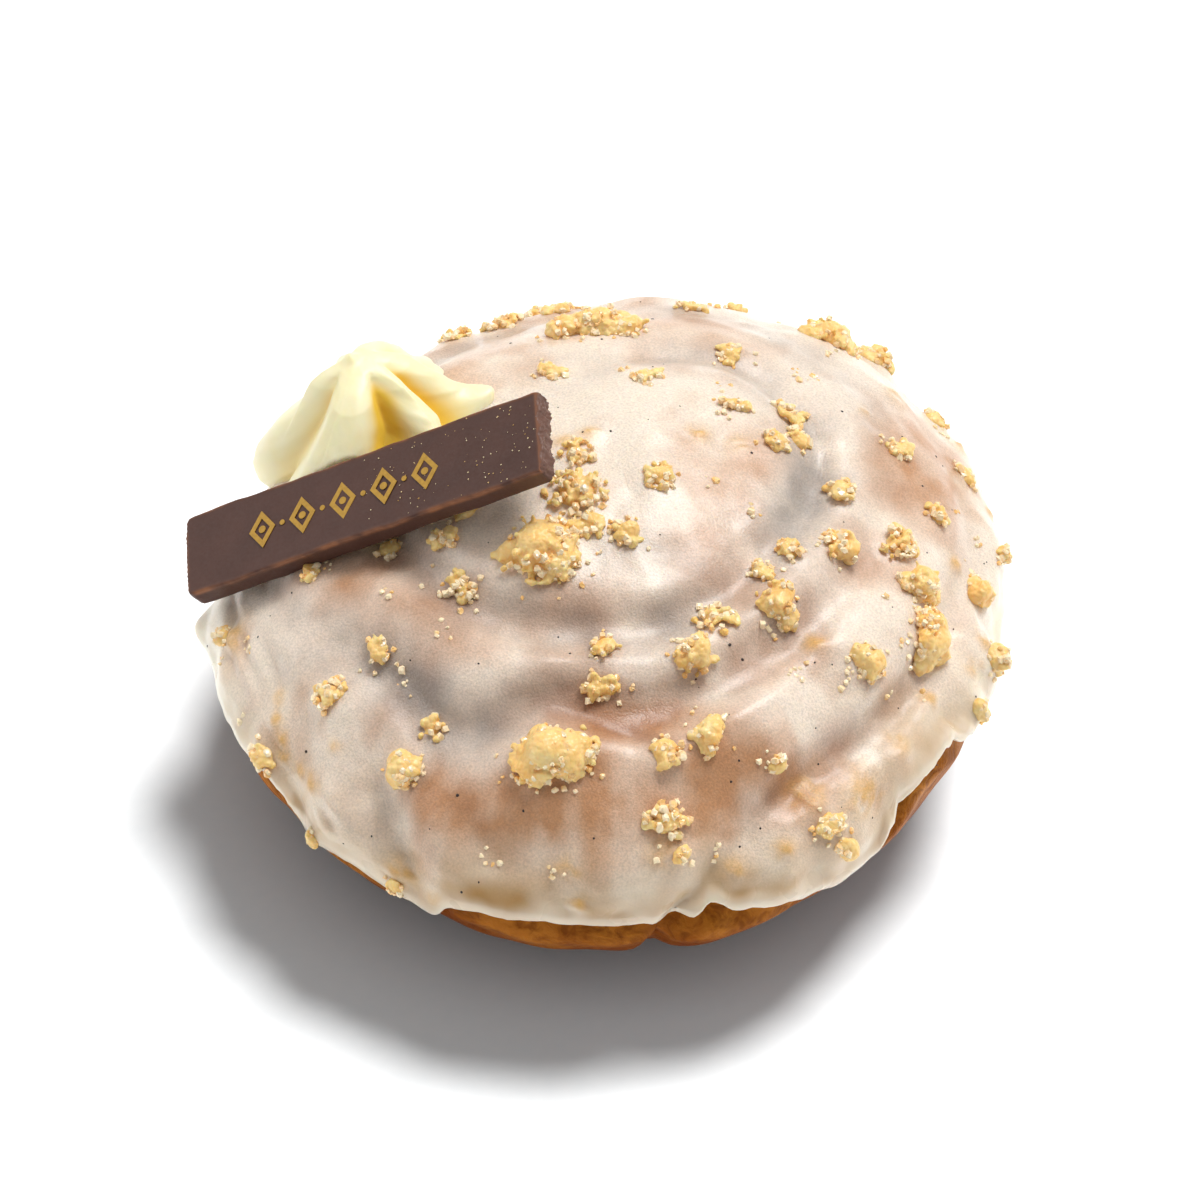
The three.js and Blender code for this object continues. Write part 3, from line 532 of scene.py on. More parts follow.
# Three of these tints are painted light: the brown in the furrow's floor and under the bar is painted shade,
# the yellow-brown at the front of the rim is painted shade, and the pale one along the lip is a painted
# highlight.
TINTS = (("browned", .7, "#96603a"), ("cinnamon", .75, "#8f8883"), ("rim", .9, "#fbefd8"),
         ("front_rim_shade", 1, "#b0823c"), ("buried_crumb", .7, "#dba956"), ("lip", .6, "#f3ead9"))
for name, much, tint in TINTS:
    there = node("Attribute", attribute_name=name).outputs["Fac"]
    share = node("Math", {0: there, 1: much}, operation="MULTIPLY", use_clamp=True)
    body = node("Mix", {"Factor": share, "A": body, "B": tint}, data_type="RGBA")
# The grain's lighter and darker specks follow its bump: partly a speckle of the sugar, partly painted sparkle
# on the raised grains and painted shade in the pits.
light = node("MapRange", {"Value": grain, "From Min": .3, "From Max": .7, "To Min": .85, "To Max": 1.1})
grainy = node("HueSaturation", {"Color": body, "Value": light})
wet = node("MapRange", {"Value": clouds, "From Min": .35, "From Max": .65, "To Min": .34, "To Max": .52})
wetter = node("Math", {0: rim, 1: -.14, 2: wet}, operation="MULTIPLY_ADD")
fine = node("Bump", {"Height": grain, "Strength": .6, "Distance": .12 * MM})
rough = node("Bump", {"Height": mottle, "Strength": .12, "Distance": .4 * MM, "Normal": fine})
feed(shader, {"Base Color": grainy, "Normal": rough, "Roughness": wetter, "IOR": 1.46,
              "Subsurface Weight": .4, "Subsurface Radius": (.0022, .0015, .001), "Subsurface Scale": 1,
              "Coat Weight": .3, "Coat Roughness": .3})
glaze.data.materials.append(icing)
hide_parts("sugar_glaze")
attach(glaze, "root")

# -------------------- the crumble
# Butter crumble baked in clumps and stuck on while the glaze was wet: golden
# rounded lumps that grew together, the biggest as large as a hazelnut.


def seat(mx, my, above=0.):
    """A place on the glaze's outside, and the way it faces there."""
    mx, my = np.atleast_1d(np.asarray(mx, float)), np.atleast_1d(np.asarray(my, float))
    edge = edge_reach(np.arctan2(my, mx))
    back = np.maximum(edge - np.hypot(mx, my), BEAD)
    return skin(mx, my, glaze_top(mx, my, back) + above), facing(mx, my)


def join(pieces, name):
    bpy.ops.object.select_all(action="DESELECT")
    for piece in pieces:
        piece.select_set(True)
    bpy.context.view_layer.objects.active = pieces[0]
    bpy.ops.object.join()
    pieces[0].name = pieces[0].data.name = name
    return pieces[0]


def many(name, shape, centres, sizes, squat, ups, rng, ragged=0.):
    """One mesh of many copies of a small shape, each turned, roughened, squashed along up and resized."""
    at = points(shape)
    faces = np.array([p.vertices[:] for p in shape.data.polygons])
    count = len(centres)
    spun = rng.normal(size=(4, count))
    w, x, y, z = spun / np.linalg.norm(spun, axis=0)
    turn = np.stack([1 - 2 * (y * y + z * z), 2 * (x * y - z * w), 2 * (x * z + y * w),
                     2 * (x * y + z * w), 1 - 2 * (x * x + z * z), 2 * (y * z - x * w),
                     2 * (x * z - y * w), 2 * (y * z + x * w), 1 - 2 * (x * x + y * y)], -1).reshape(-1, 3, 3)
    rough = rng.uniform(1 - ragged, 1 + ragged, (count, len(at), 1))
    grown = at * rough * rng.uniform(.75, 1.25, (count, 1, 3))
    grown = np.einsum("nij,nvj->nvi", turn, grown)
    along = np.einsum("nvi,ni->nv", grown, ups)
    grown = grown + ups[:, None] * (along * (squat - 1))[..., None]
    placed = (centres[:, None] + grown * sizes[:, None, None]).reshape(-1, 3) * MM
    faces = (faces[None] + np.arange(count)[:, None, None] * len(at)).reshape(-1, faces.shape[1])
    mesh = bpy.data.meshes.new(name)
    mesh.from_pydata(placed.tolist(), [], faces.tolist())
    piece = bpy.data.objects.new(name, mesh)
    bpy.context.scene.collection.objects.link(piece)
    bpy.data.objects.remove(shape)
    bpy.ops.object.select_all(action="DESELECT")
    piece.select_set(True)
    bpy.context.view_layer.objects.active = piece
    mark(piece, "tone", np.repeat(rng.uniform(0, 1, count), len(at)))
    return piece


# A clump is one to eight rounded nuggets grown together, and coarse caked grains: on
# one side of them, all over them, or alone. Rows: map x, map y, above the glaze, radius.
rng = np.random.default_rng(7)
lumps, grains = [], []
for x, y, w, d in CLUMPS:
    small, area = min(w, d) / 2, w * d
    kind = rng.choice(("one side", "all over", "alone"), p=(.45, .3, .25)) if area < 45 else "one side"
    count = 1 if area < 16 else 2 if area < 25 else 4 if area < 50 else 7
    side = rng.uniform(0, 2 * math.pi)
    if kind == "alone":
        lumps.append((x, y, -small * .35, small * .85))
        for k in range(int(area * 1.7)):
            turn, out = rng.uniform(0, 2 * math.pi), math.sqrt(rng.uniform(0, 1))
            grain = rng.uniform(.36, .64)
            kept = grains if rng.uniform() < .5 else lumps
            kept.append((x + out * w / 2.2 * math.cos(turn), y + out * d / 2.2 * math.sin(turn),
                         math.sqrt(1 - out * out) * small * .55 * rng.uniform(.7, 1.1), grain))
        continue
    own = []
    for k in range(count):
        size = small * (rng.uniform(.44, .64) if count > 1 else .78)
        turn = 2.4 * k + side
        out = math.sqrt((k + .3) / count) * rng.uniform(.85, 1.1)
        own.append((x + out * (w / 2 - size) * math.cos(turn), y + out * (d / 2 - size) * math.sin(turn),
                    size * rng.uniform(-.1, .3), size))
    if count > 2:  # the heap's middle stands higher
        own.append((x, y, small * .4, small * .62))
    lumps += own
    for lx, ly, lz, size in own:
        for k in range(int(size * size * (12 if kind == "all over" else 8) + 4)):
            stray = kind == "all over" or rng.uniform() < .2
            turn = rng.uniform(0, 2 * math.pi) if stray else side + rng.normal(0, .8)
            lift, grain = rng.uniform(-.2, 1 if stray else .8), rng.uniform(.34, .6)
            out, flat = size + grain * rng.uniform(-.6, .1), math.sqrt(1 - lift * lift)
            kept = grains if rng.uniform() < .45 else lumps  # half of them are baked into the lump
            kept.append((lx + out * flat * math.cos(turn), ly + out * flat * math.sin(turn),
                         max(lz + out * .92 * lift, grain * .25), grain))
    for k in range(int(2 + area * .12)):  # a few spilled at its foot
        turn, out = side + rng.normal(0, 1), rng.uniform(.8, 1.2)
        grains.append((x + out * w / 2 * math.cos(turn), y + out * d / 2 * math.sin(turn), .05,
                       rng.uniform(.26, .5)))


def scatter(name, shape, rows, squat, rng, ragged=0.):
    """Many copies on the glaze, in rows of map x, map y, height above it and radius."""
    mx, my, above, sizes = np.array(rows).T
    centres, ups = seat(mx, my, above)
    return many(name, shape, centres, sizes, squat, ups, rng, ragged)


bead = bpy.ops.mesh.primitive_ico_sphere_add
crumble = scatter("butter_crumble", primitive("nugget", bead, subdivisions=3, radius=1), lumps, .9, rng)
# They grew together, and then melted a little.
apply(crumble, "REMESH", mode="VOXEL", voxel_size=.00027, use_smooth_shade=True)
apply(crumble, "SMOOTH", factor=.5, iterations=5)
for scale, strength in ((.0018, .0004), (.0006, .00022)):  # dents, then a crumbly skin, in metres
    texture = bpy.data.textures.new("crumbly", "CLOUDS")
    texture.noise_scale = scale
    apply(crumble, "DISPLACE", texture=texture, strength=strength, texture_coords="LOCAL")
bpy.ops.object.shade_smooth()

# Butter crumble: golden, a little see-through at its edges, paler where sugar dusts it.
crumb, shader, node, spot = new_material("butter_crumble")
patches = node("TexNoise", {"Vector": spot, "Scale": 1 / (3.5 * MM), "Detail": 4, "Roughness": .6})
bits = node("TexVoronoi", {"Vector": spot, "Scale": 1 / (.7 * MM)}).outputs["Distance"]
gold = node("ValToRGB", {"Fac": patches}, stops=((.34, "#ffc672"), (.66, "#ffdd9a")))
bump = node("Bump", {"Height": bits, "Strength": .7, "Distance": .28 * MM}, invert=True)
feed(shader, {"Base Color": gold, "Normal": bump, "Roughness": .34,
              "Subsurface Weight": .45, "Subsurface Radius": (.0014, .0009, .0004), "Subsurface Scale": 1})
crumble.data.materials.append(crumb)
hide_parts("sugar_glaze")
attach(crumble, "root")

# -------------------- sugar crystals and loose crumbs
# Coarse sugar clings to the clumps as pale, sharp-edged grains, and the finest
# of the crumble lies loose between them, stuck to the glaze.


def granule():
    """A cube split in four a side and half rounded: 24 faces."""
    piece = primitive("granule", bpy.ops.mesh.primitive_cube_add, finer=1, size=1.4)
    bpy.ops.object.mode_set(mode="EDIT")
    bpy.ops.mesh.select_all(action="SELECT")
    bpy.ops.transform.tosphere(value=.55)
    bpy.ops.object.mode_set(mode="OBJECT")
    return piece


crystals = scatter("sugar_grains", granule(), grains, .95, rng, ragged=.26)
bpy.ops.object.shade_flat()

# Sugar caked with butter: pale, sharp-edged and half clear, a few grains nearly white.
sugar, shader, node, spot = new_material("caked_sugar")
tone = node("Attribute", attribute_name="tone").outputs["Fac"]
within = node("TexNoise", {"Vector": spot, "Scale": 1 / (.8 * MM), "Detail": 2})
blend = node("Math", {0: tone, 1: within}, operation="ADD")
pale = node("ValToRGB", {"Fac": blend}, stops=((.55, "#fdca80"), (1, "#ffeac4")))
feed(shader, {"Base Color": pale, "Roughness": .18,
              "Subsurface Weight": .15, "Subsurface Radius": (.0001, .0002, .0003), "Subsurface Scale": 1})
crystals.data.materials.append(sugar)
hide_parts("sugar_glaze")
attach(crystals, "root")

# The finest of the crumble lies loose: little groups of two to seven bits, sunk in the glaze.
LOOSE, LOOSE_REACH = 240, 51  # how many bits, and how far from the crown in mm
rng = np.random.default_rng(19)
loose = []
while len(loose) < LOOSE:
    turn, reach = rng.uniform(0, 2 * math.pi), LOOSE_REACH * math.sqrt(rng.uniform(0, 1))
    x, y = reach * math.cos(turn), reach * math.sin(turn)
    if math.hypot(x + 28, y - 9) < 17:  # under the rosette
        continue
    for k in range(rng.integers(2, 8)):
        loose.append((x + rng.normal(0, .6), y + rng.normal(0, .6), rng.uniform(-.2, .15),
                      rng.uniform(.22, .42) if k else rng.uniform(.35, .6)))
crumbs = scatter("loose_crumbs", granule(), loose, .85, rng, ragged=.16)
bpy.ops.object.shade_flat()
crumbs.data.materials.append(sugar)
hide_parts("sugar_glaze")
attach(crumbs, "root")

# -------------------- vanilla seeds
# The glaze is made with a scraped vanilla pod: black seeds a third of a
# millimetre across lie just under its skin.
SEEDS = 110
rng = np.random.default_rng(5)
turn, reach = rng.uniform(0, 2 * math.pi, SEEDS), 54 * np.sqrt(rng.uniform(0, 1, SEEDS))
centres, ups = seat(reach * np.cos(turn), reach * np.sin(turn), -.02)
seed = primitive("seed", bead, subdivisions=1, radius=1)
seeds = many("vanilla_seeds", seed, centres, rng.uniform(.13, .24, SEEDS), .5, ups, rng)
bpy.ops.object.shade_smooth()

# Vanilla seed: nearly black, a little oily, some seeds browner.
pod, shader, node, spot = new_material("vanilla_seed")
dark = node("TexNoise", {"Vector": spot, "Scale": 1 / (1 * MM)})
black = node("Mix", {"Factor": dark, "A": "#15110f", "B": "#3a2a22"}, data_type="RGBA")
feed(shader, {"Base Color": black, "Roughness": .45})
seeds.data.materials.append(pod)
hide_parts("sugar_glaze")
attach(seeds, "root")

# -------------------- the chocolate bar
# A small tempered dark chocolate tablet, moulded flat with soft corners. One
# end was snapped off, so its break is rough and paler. It leans on the cream.
BAR = (56, 12.6, 3.2)  # mm long, wide and thick
BAR_AT = (-34.4, -4.3, 51.4)  # mm, the middle of its face
long = Vector((.878, -.0615, .479)).normalized()
face = Vector((-.478, -.261, .844))
face = (face - long * face.dot(long)).normalized()
BAR_TURN = Matrix((long, face.cross(long), face)).transposed().to_4x4()
BAR_PLACE = Matrix.Translation(Vector(BAR_AT) * MM) @ BAR_TURN

bar = primitive("chocolate_tablet", bpy.ops.mesh.primitive_cube_add, size=1)
bpy.ops.transform.resize(value=[side * MM for side in BAR])
bpy.ops.object.transform_apply(location=False, rotation=False, scale=True)


def bevel_edges(piece, chosen, width, segments):
    """Bevels the edges whose middle and direction pass the test."""
    bpy.ops.object.mode_set(mode="EDIT")
    bpy.ops.mesh.select_mode(type="EDGE")
    bpy.ops.mesh.select_all(action="DESELECT")
    bpy.ops.object.mode_set(mode="OBJECT")
    for edge in piece.data.edges:
        a, b = (piece.data.vertices[i].co for i in edge.vertices)
        edge.select = chosen((a + b) / 2 / MM, (b - a) / MM)
    bpy.ops.object.mode_set(mode="EDIT")
    bpy.ops.mesh.bevel(offset=width * MM, segments=segments, affect="EDGES")
    bpy.ops.object.mode_set(mode="OBJECT")


bevel_edges(bar, lambda middle, way: abs(way.z) > 3, 1.2, 5)  # the four upright corners
bevel_edges(bar, lambda middle, way: abs(way.z) < .01 and middle.z > 1.5, .38, 3)  # round the face
apply(bar, "REMESH", mode="VOXEL", voxel_size=.00024, use_smooth_shade=True)
at = points(bar) / MM
x, y, z = at.T.copy()
# The rough cut at the right end, the nibbled left edge, and a face that isn't quite true. The bar ends 28 mm
# from its middle, and its long sides lie 6.3 mm from it.
cut = smooth(x, 27, 27.8)
striped = .13 * np.sin(2 * math.pi * y / .62 + .5 * z) * (.6 + cloud(y, z, 1.6, 2.9, 2))
at[:, 0] += cut * (striped + .45 * cloud(y, z, 1.3, 4.2, 3) - .25)
nibbled = .12 * np.abs(np.sin(math.pi * y / .75)) + .15 * cloud(y, z, 2.2, 6.4, 2) - .06
at[:, 0] += smooth(-x, 27.3, 28) * nibbled
at[:, 1] += .16 * cloud(x, z, 5, 1.7, 2) * np.sign(y) * smooth(np.abs(y), 4.5, 6.3)
at[:, 2] += .14 * cloud(x, y, 9, 8.8, 2) + .03 * cloud(x, y, 1.6, 5.1, 2)
at[:, 2] -= BAR[2] / 2
place_points(bar, at)
edged = np.exp(-(np.minimum(6.25 - np.abs(y), 27.9 - np.abs(x)) / .32) ** 2) * smooth(z, .7, 1.35)
snapped = smooth(x, 26.9, 27.3) * (1 - smooth(x, 27.4, 27.8)) * smooth(z, .6, 1.3) * .6
mark(bar, "cut", smooth(x, 27.2, 27.9))
mark(bar, "worn", np.clip(edged * (.55 + .9 * cloud(x + y, y, 2.4, 3.3, 3)) + snapped, 0, 1))
bar.data.transform(BAR_PLACE)
bpy.ops.object.shade_smooth()

# Tempered dark chocolate: a warm brown satin dusted with fine bloom, paler along worn edges and on the break.
choc, shader, node, spot = new_material("dark_chocolate")
worn = node("Attribute", attribute_name="worn").outputs["Fac"]
cut = node("Attribute", attribute_name="cut").outputs["Fac"]
cloudy = node("TexNoise", {"Vector": spot, "Scale": 1 / (6 * MM), "Detail": 5, "Roughness": .6})
dust = node("TexNoise", {"Vector": spot, "Scale": 1 / (.4 * MM), "Detail": 3})
body = node("Mix", {"Factor": cloudy, "A": "#452b23", "B": "#5a3a30"}, data_type="RGBA")
body = node("Mix", {"Factor": worn, "A": body, "B": "#96603f"}, data_type="RGBA")
body = node("Mix", {"Factor": cut, "A": body, "B": "#6e4d40"}, data_type="RGBA")
satin = node("MapRange", {"Value": dust, "From Min": .3, "From Max": .7, "To Min": .4, "To Max": .55})
bump = node("Bump", {"Height": dust, "Strength": .12, "Distance": .1 * MM})
feed(shader, {"Base Color": body, "Normal": bump, "Roughness": satin, "Specular IOR Level": .35})
bar.data.materials.append(choc)
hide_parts("chocolate_bar")
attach(bar, "root")

# -------------------- the print on the bar
# Edible gold, printed on a transfer sheet that the chocolate set against: a
# plain row of lozenges with a dot in each and a smaller dot between them.
LOZENGES, PITCH, FIRST, FIRST_BETWEEN = 5, 6.4, -15.5, -12.3  # mm along the bar, but for the count


def flat(name, corners, radius, x):
    """A flat filled shape on the bar's middle line, in mm."""
    return primitive(name, bpy.ops.mesh.primitive_circle_add, vertices=corners, radius=radius * MM,
                     fill_type="NGON", location=(x * MM, 0, 0))


marks = []
for k in range(LOZENGES):
    x = FIRST + PITCH * k
    marks.append(flat("lozenge", 4, 2.9, x))
    bpy.ops.transform.resize(value=(.72, 1, 1), center_override=(x * MM, 0, 0))
    bpy.ops.object.mode_set(mode="EDIT")
    bpy.ops.mesh.select_all(action="SELECT")
    bpy.ops.mesh.inset(thickness=.85 * MM)
    bpy.ops.mesh.delete(type="FACE")
    bpy.ops.object.mode_set(mode="OBJECT")
    marks.append(flat("dot", 20, .55, x))
    if k < LOZENGES - 1:
        marks.append(flat("dot", 16, .4, FIRST_BETWEEN + PITCH * k))
print_gold = join(marks, "gold_print")
bpy.ops.object.transform_apply(location=True, rotation=True, scale=True)
apply(print_gold, "SOLIDIFY", thickness=.09 * MM, offset=1)
print_gold.data.transform(BAR_PLACE @ Matrix.Translation((0, 0, .03 * MM)))

# Edible gold: a dull brassy foil, flecked where the print is thin.
gold_leaf, shader, node, spot = new_material("edible_gold")
flecks = node("TexNoise", {"Vector": spot, "Scale": 1 / (.6 * MM), "Detail": 3})
gilt = node("Mix", {"Factor": flecks, "A": "#9a7426", "B": "#c79a3c"}, data_type="RGBA")
feed(shader, {"Base Color": gilt, "Metallic": .35, "Roughness": .45})
print_gold.data.materials.append(gold_leaf)
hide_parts("chocolate_bar")
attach(print_gold, "root")

# -------------------- the gold dust
# Flecks of edible gold a quarter of a millimetre across, brushed on dry after
# the chocolate set. They lie thickest at the bar's higher end.
FLECKS = 130
rng = np.random.default_rng(3)
x, y = 27 - 27 * rng.uniform(0, 1, FLECKS) ** 1.3, rng.uniform(-5.8, 5.8, FLECKS)
centres = np.stack([x, y, np.full(FLECKS, .03)], -1)
ups = np.tile((0., 0., 1.), (FLECKS, 1))
fleck = primitive("fleck", bead, subdivisions=1, radius=1)
dusting = many("gold_dust", fleck, centres, rng.uniform(.05, .13, FLECKS), .6, ups, rng)
dusting.data.transform(BAR_PLACE)
bpy.ops.object.shade_smooth()

# Gold dust: pale glints, each fleck its own tone.
glitter, shader, node, spot = new_material("gold_dust")
tone = node("Attribute", attribute_name="tone").outputs["Fac"]
glint = node("Mix", {"Factor": tone, "A": "#c79a52", "B": "#f3e2bb"}, data_type="RGBA")
feed(shader, {"Base Color": glint, "Metallic": .3, "Roughness": .35})
dusting.data.materials.append(glitter)
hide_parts("chocolate_bar")
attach(dusting, "root")

# -------------------- the cream rosette
# Custard-yellow buttercream piped from an open star tip in one squeeze: soft
# ridges run up its sides and gather in a pulled tip. The bar dents its front.
ROSETTE_AT = np.array((-34.8, 13.5, 42.6))
ROSETTE_R, ROSETTE_H = 15.4, 16.0
# Its outline: how far down the sphere, and there the height and the radius, as shares of those two.
PROFILE = (
    (0, .965, 0), (.02, .962, .065), (.04, .955, .13), (.07, .94, .21), (.12, .9, .31), (.2, .81, .45),
    (.32, .62, .61), (.45, .41, .77), (.58, .17, .93), (.72, -.12, 1.05), (.86, -.5, .97), (1, -.62, 0),
)
# Its ridges: bearing at the foot in degrees, how far it stands out, how wide the hollow after it is, and
# where between the two ridges the hollow's bottom lies.
RIDGES = ((-134, 1, 1.7, .68), (-49, .99, .9, .44), (3, 1.02, 2, .36), (52, .97, 1.2, .5), (98, 1, 1, .5),
          (158, .93, 1.4, .5))


def rosette(bearing, fall):
    """The places of the rosette's points, and how deep each lies in a hollow between ridges, which sets the
    painted shade there.
    """
    at, tall, wide = np.array(PROFILE).T
    up, radius = np.interp(fall, at, tall), np.interp(fall, at, wide)
    x, y = np.cos(bearing), np.sin(bearing)
    # The ridges wind a little round the rosette on their way up.
    wander = cloud(x * 9, y * 9 + up * 11, 7, 3.9, 2)
    turned = np.degrees(bearing) - 30 * up - 16 * up * np.sin(5 * up + bearing) * (1 - up) - 9 * wander
    first = RIDGES[0][0]
    turned = (turned - first) % 360 + first
    ridges = np.array(RIDGES + ((first + 360, *RIDGES[0][1:]),), float)
    i = np.clip(np.searchsorted(ridges[:, 0], turned, side="right") - 1, 0, len(RIDGES) - 1)
    here, after = ridges[i], ridges[i + 1]
    span = after[:, 0] - here[:, 0]
    share = (turned - here[:, 0]) / span
    out = here[:, 1] + (after[:, 1] - here[:, 1]) * smooth(share, 0, 1)
    # Round ridges; the hollow between them is a narrow fold or a wide trough.
    lopsided = share ** (np.log(.5) / np.log(here[:, 3]))
    crest = (np.cos(np.pi * lopsided) ** 2 + .012) ** (here[:, 2] / 2)
    strength = .4 * np.sqrt(span / 52) * smooth(up, -.6, .05) * (1 - .95 * smooth(up, .87, .97))
    oval = 1 + .025 * np.cos(2 * (bearing - math.radians(10))) + .04 * np.sin(3 * bearing + .8)
    oval = oval - .2 * smooth(-x, -.1, .7) * smooth(up, .1, .7) - .1 * smooth(x, .4, 1)
    ridged = 1 + strength * (crest - .62) + .05 * cloud(x * 9, y * 9 + up * 14, 4, 6.6, 3)
    reach = radius * ROSETTE_R * oval * (1 + (out - 1) * (1 - up)) * ridged
    turn = np.degrees(bearing)
    # A ridge tore off the tip as a small curled flake, another arches up, and the back ones are smaller.
    flake = hill(turn, up, 10, .16, 9, .12)
    arch = hill(turn, up, 48, .66, 34, .26)
    slack = peak(turn, 135, 42) * smooth(up, .3, .8)
    reach = reach * (1 + .1 * flake - .28 * slack)
    # A deeper yellow in the hollows between ridges stands for their shade; it is strongest at the front
    # right.
    fold_shade = (1 - crest) * smooth(up, -.5, .2) * (1 - smooth(up, .75, .95))
    fold_shade = fold_shade * (.45 + .55 * smooth(np.cos(bearing + .8), 0, .9))
    # Where the nozzle pulled away it left a small soft tip.
    tip = np.exp(-((reach * x + .8) ** 2 + (reach * y - .2) ** 2) / 1.1 ** 2) * smooth(up, .5, .9)
    lean = np.maximum(up, 0) ** 2
    slope = .36 * reach * x * (1 - .75 * smooth(up, 0, 1))
    return ROSETTE_AT + np.stack([reach * x - 1 * lean, reach * y + 2 * lean,
                                  up * ROSETTE_H + slope + .5 * flake + .4 * arch + 1.1 * tip], -1), fold_shade


cream = primitive("piped_cream", ball, finer=2, segments=84, ring_count=40, radius=1)
bearing, fall = reshape(cream, lambda bearing, fall: rosette(bearing, fall)[0])
mark(cream, "fold_shade", rosette(bearing, fall)[1])

# It sits a little way into the glaze, and stays clear of the bar's back.
SUNK = .4  # mm
CLEAR = BAR[2] + .3  # mm from the bar's face


def cell(at):
    """The half-millimetre cell of a 140 mm square that each point stands over."""
    return tuple(np.clip(np.round(at[:, :2] * 2) + 140, 0, 279).astype(int).T)


at = points(cream) / MM
turn, reach = np.meshgrid(np.radians(np.arange(95, 265, .5)), np.arange(6, 62, .25))
ground, _ = seat((reach * np.cos(turn)).ravel(), (reach * np.sin(turn)).ravel(), -SUNK)
cells = np.full((280, 280), -99.)
np.maximum.at(cells, cell(ground), ground[:, 2])
at[:, 2] = np.maximum(at[:, 2], cells[cell(at)])
to_bar, from_bar = np.array(BAR_PLACE.inverted()), np.array(BAR_PLACE)
local = at * MM @ to_bar[:3, :3].T + to_bar[:3, 3]
beside = (np.abs(local[:, 0]) < 28.4 * MM) & (np.abs(local[:, 1]) < 6.7 * MM)
behind = beside & (local[:, 2] > -CLEAR * MM)
local[behind, 2] = -CLEAR * MM
at[behind] = (local @ from_bar[:3, :3].T + from_bar[:3, 3])[behind] / MM
place_points(cream, at)
apply(cream, "SMOOTH", factor=.5, iterations=4)

# Buttercream: fat and egg, so light goes a little way in; a deeper yellow in its folds is painted shade, and
# it has a soft sheen.
butter, shader, node, spot = new_material("buttercream")
fold_shade = node("Attribute", attribute_name="fold_shade").outputs["Fac"]
whipped = node("TexNoise", {"Vector": spot, "Scale": 1 / (4 * MM), "Detail": 4})
air = node("TexNoise", {"Vector": spot, "Scale": 1 / (.8 * MM), "Detail": 2})
yellow = node("Mix", {"Factor": whipped, "A": "#fdedb4", "B": "#fff6d4"}, data_type="RGBA")
# Painted shade: the hollows between the ridges get a deeper yellow.
deep = node("MapRange", {"Value": fold_shade, "From Min": .1, "From Max": .75, "To Max": .9},
            interpolation_type="SMOOTHSTEP")
yellow = node("Mix", {"Factor": deep, "A": yellow, "B": "#f3c61e"}, data_type="RGBA")
bump = node("Bump", {"Height": air, "Strength": .12, "Distance": .2 * MM})
feed(shader, {"Base Color": yellow, "Normal": bump, "Roughness": .38,
              "Subsurface Weight": .35, "Subsurface Radius": (.0025, .0018, .0008), "Subsurface Scale": 1})
cream.data.materials.append(butter)
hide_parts("cream_rosette")
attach(cream, "root")

# -------------------- the floor, the light and the camera
# A plain pale floor. A large soft window stands to the right and behind, with a
# weak light from the right and one from the left for the bun, and two broad ones
# that only the floor gets. A long lens looks down on the bun at 45 degrees.
floor = primitive("floor", bpy.ops.mesh.primitive_plane_add, size=6)
paper, shader, node, spot = new_material("white_paper")  # matt and nearly white, with a faint tooth
tooth = node("TexNoise", {"Vector": spot, "Scale": 1 / (2 * MM)})
white = node("Mix", {"Factor": tooth, "A": "#e4e6e7", "B": "#e9eaea"}, data_type="RGBA")
feed(shader, {"Base Color": white, "Roughness": .9, "Specular IOR Level": .1})
floor.data.materials.append(paper)

served = {}
for state in ("EXCLUDE", "INCLUDE"):
    served[state] = bpy.data.collections.new("floor_" + state.lower())
    served[state].objects.link(floor)
    served[state].collection_objects[0].light_linking.link_state = state
AIM = Vector((0, 0, .025))  # the middle of the bun's waist, in metres


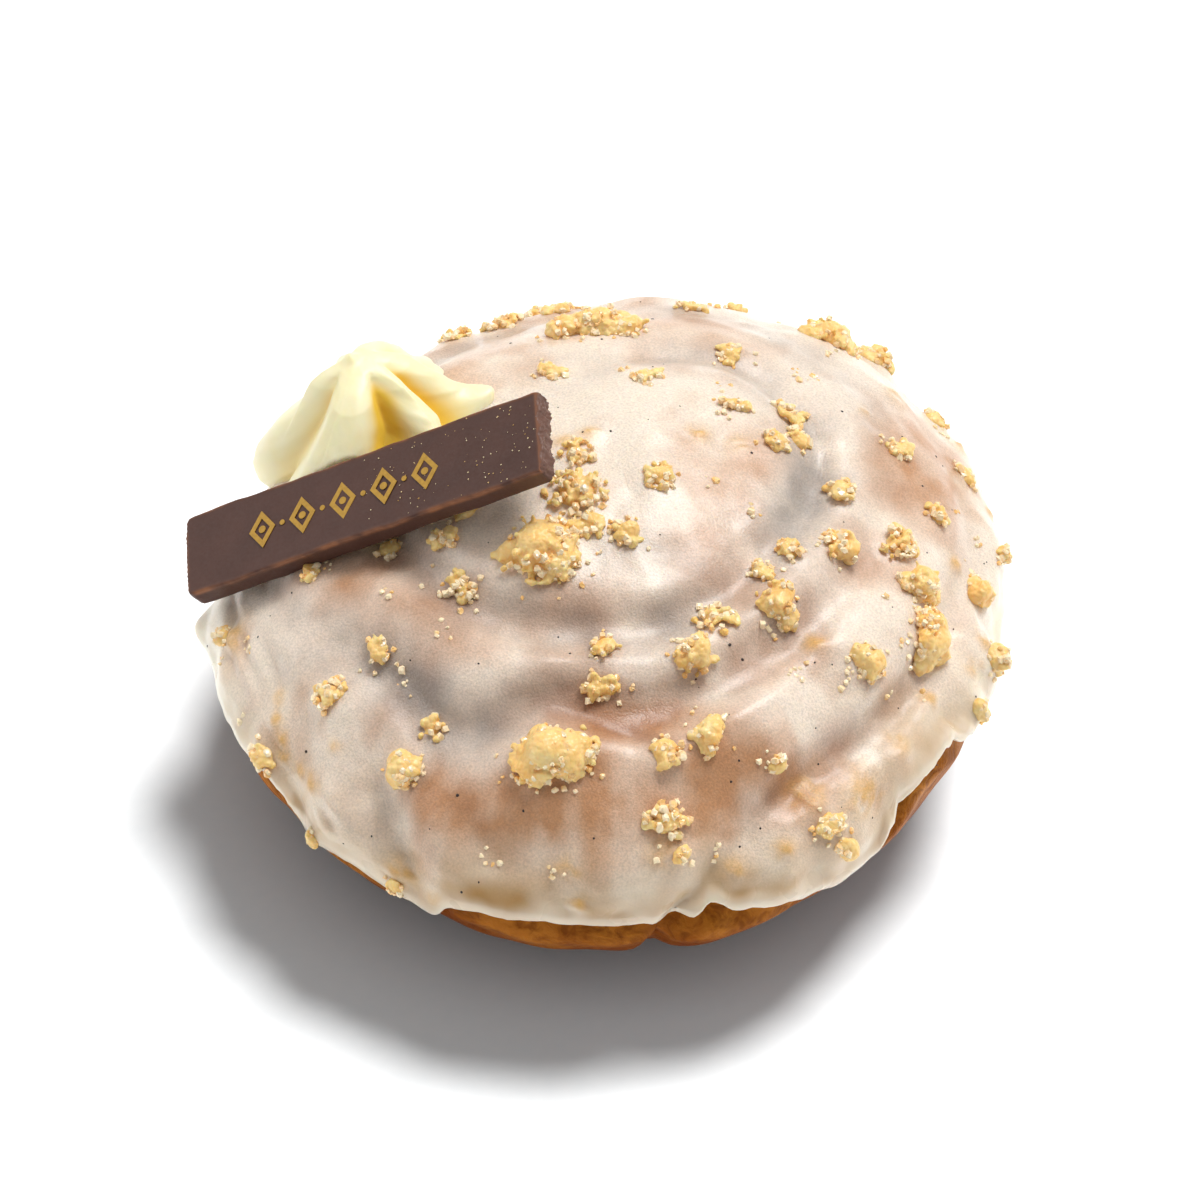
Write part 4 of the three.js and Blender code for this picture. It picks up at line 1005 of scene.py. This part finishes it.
def window(name, bearing, elevation, distance, size, power, floor_state=None):
    """A soft square light aimed at the bun, for all, all but the floor (EXCLUDE) or only it (INCLUDE)."""
    lamp = bpy.data.objects.new(name, bpy.data.lights.new(name, "AREA"))
    a, e = math.radians(bearing), math.radians(elevation)
    out = Vector((math.cos(a) * math.cos(e), math.sin(a) * math.cos(e), math.sin(e)))
    lamp.location = out * distance + AIM
    lamp.rotation_euler = (AIM - lamp.location).to_track_quat("-Z", "Y").to_euler()
    lamp.data.size, lamp.data.energy = size, power
    bpy.context.scene.collection.objects.link(lamp)
    if floor_state:
        lamp.light_linking.receiver_collection = served[floor_state]
    return lamp


key = window("key", bearing=48, elevation=66, distance=1.5, size=.62, power=19)
sweep = bpy.data.objects.new("sweep", bpy.data.lights.new("sweep", "SUN"))
sweep.rotation_euler = key.rotation_euler
sweep.data.energy, sweep.data.angle = 3, math.radians(24)
sweep.light_linking.receiver_collection = served["INCLUDE"]
bpy.context.scene.collection.objects.link(sweep)
lift = window("lift", bearing=-80, elevation=55, distance=2, size=2, power=9, floor_state="INCLUDE")
lift.data.color = (.86, .95, 1)  # as from a cool sky, so that the shadow stays neutral
window("side", bearing=14, elevation=32, distance=1.4, size=.7, power=3.2, floor_state="EXCLUDE")
window("fill", bearing=172, elevation=38, distance=1.5, size=1.1, power=6.5, floor_state="EXCLUDE")
world = bpy.data.worlds.new("studio")
world.use_nodes = True
feed(world.node_tree.nodes["Background"], {"Color": (1, 1, 1, 1), "Strength": .24})
bpy.context.scene.world = world
bpy.context.scene.view_settings.view_transform = "Standard"

CAMERA_AWAY, CAMERA_ASIDE, CAMERA_UP = .5, -.00237, .00154  # metres
camera = bpy.data.objects.new("camera", bpy.data.cameras.new("camera"))
tilt = math.radians(45)
ahead = Vector((0, math.cos(tilt), -math.sin(tilt)))
upward = Vector((0, math.sin(tilt), math.cos(tilt)))
camera.location = AIM - ahead * CAMERA_AWAY + Vector((CAMERA_ASIDE, 0, 0)) + upward * CAMERA_UP
camera.rotation_euler = ahead.to_track_quat("-Z", "Y").to_euler()
camera.data.sensor_width, camera.data.lens = 36, 107.46
camera.data.clip_start, camera.data.clip_end = .01, 20
bpy.context.scene.collection.objects.link(camera)
bpy.context.scene.camera = camera
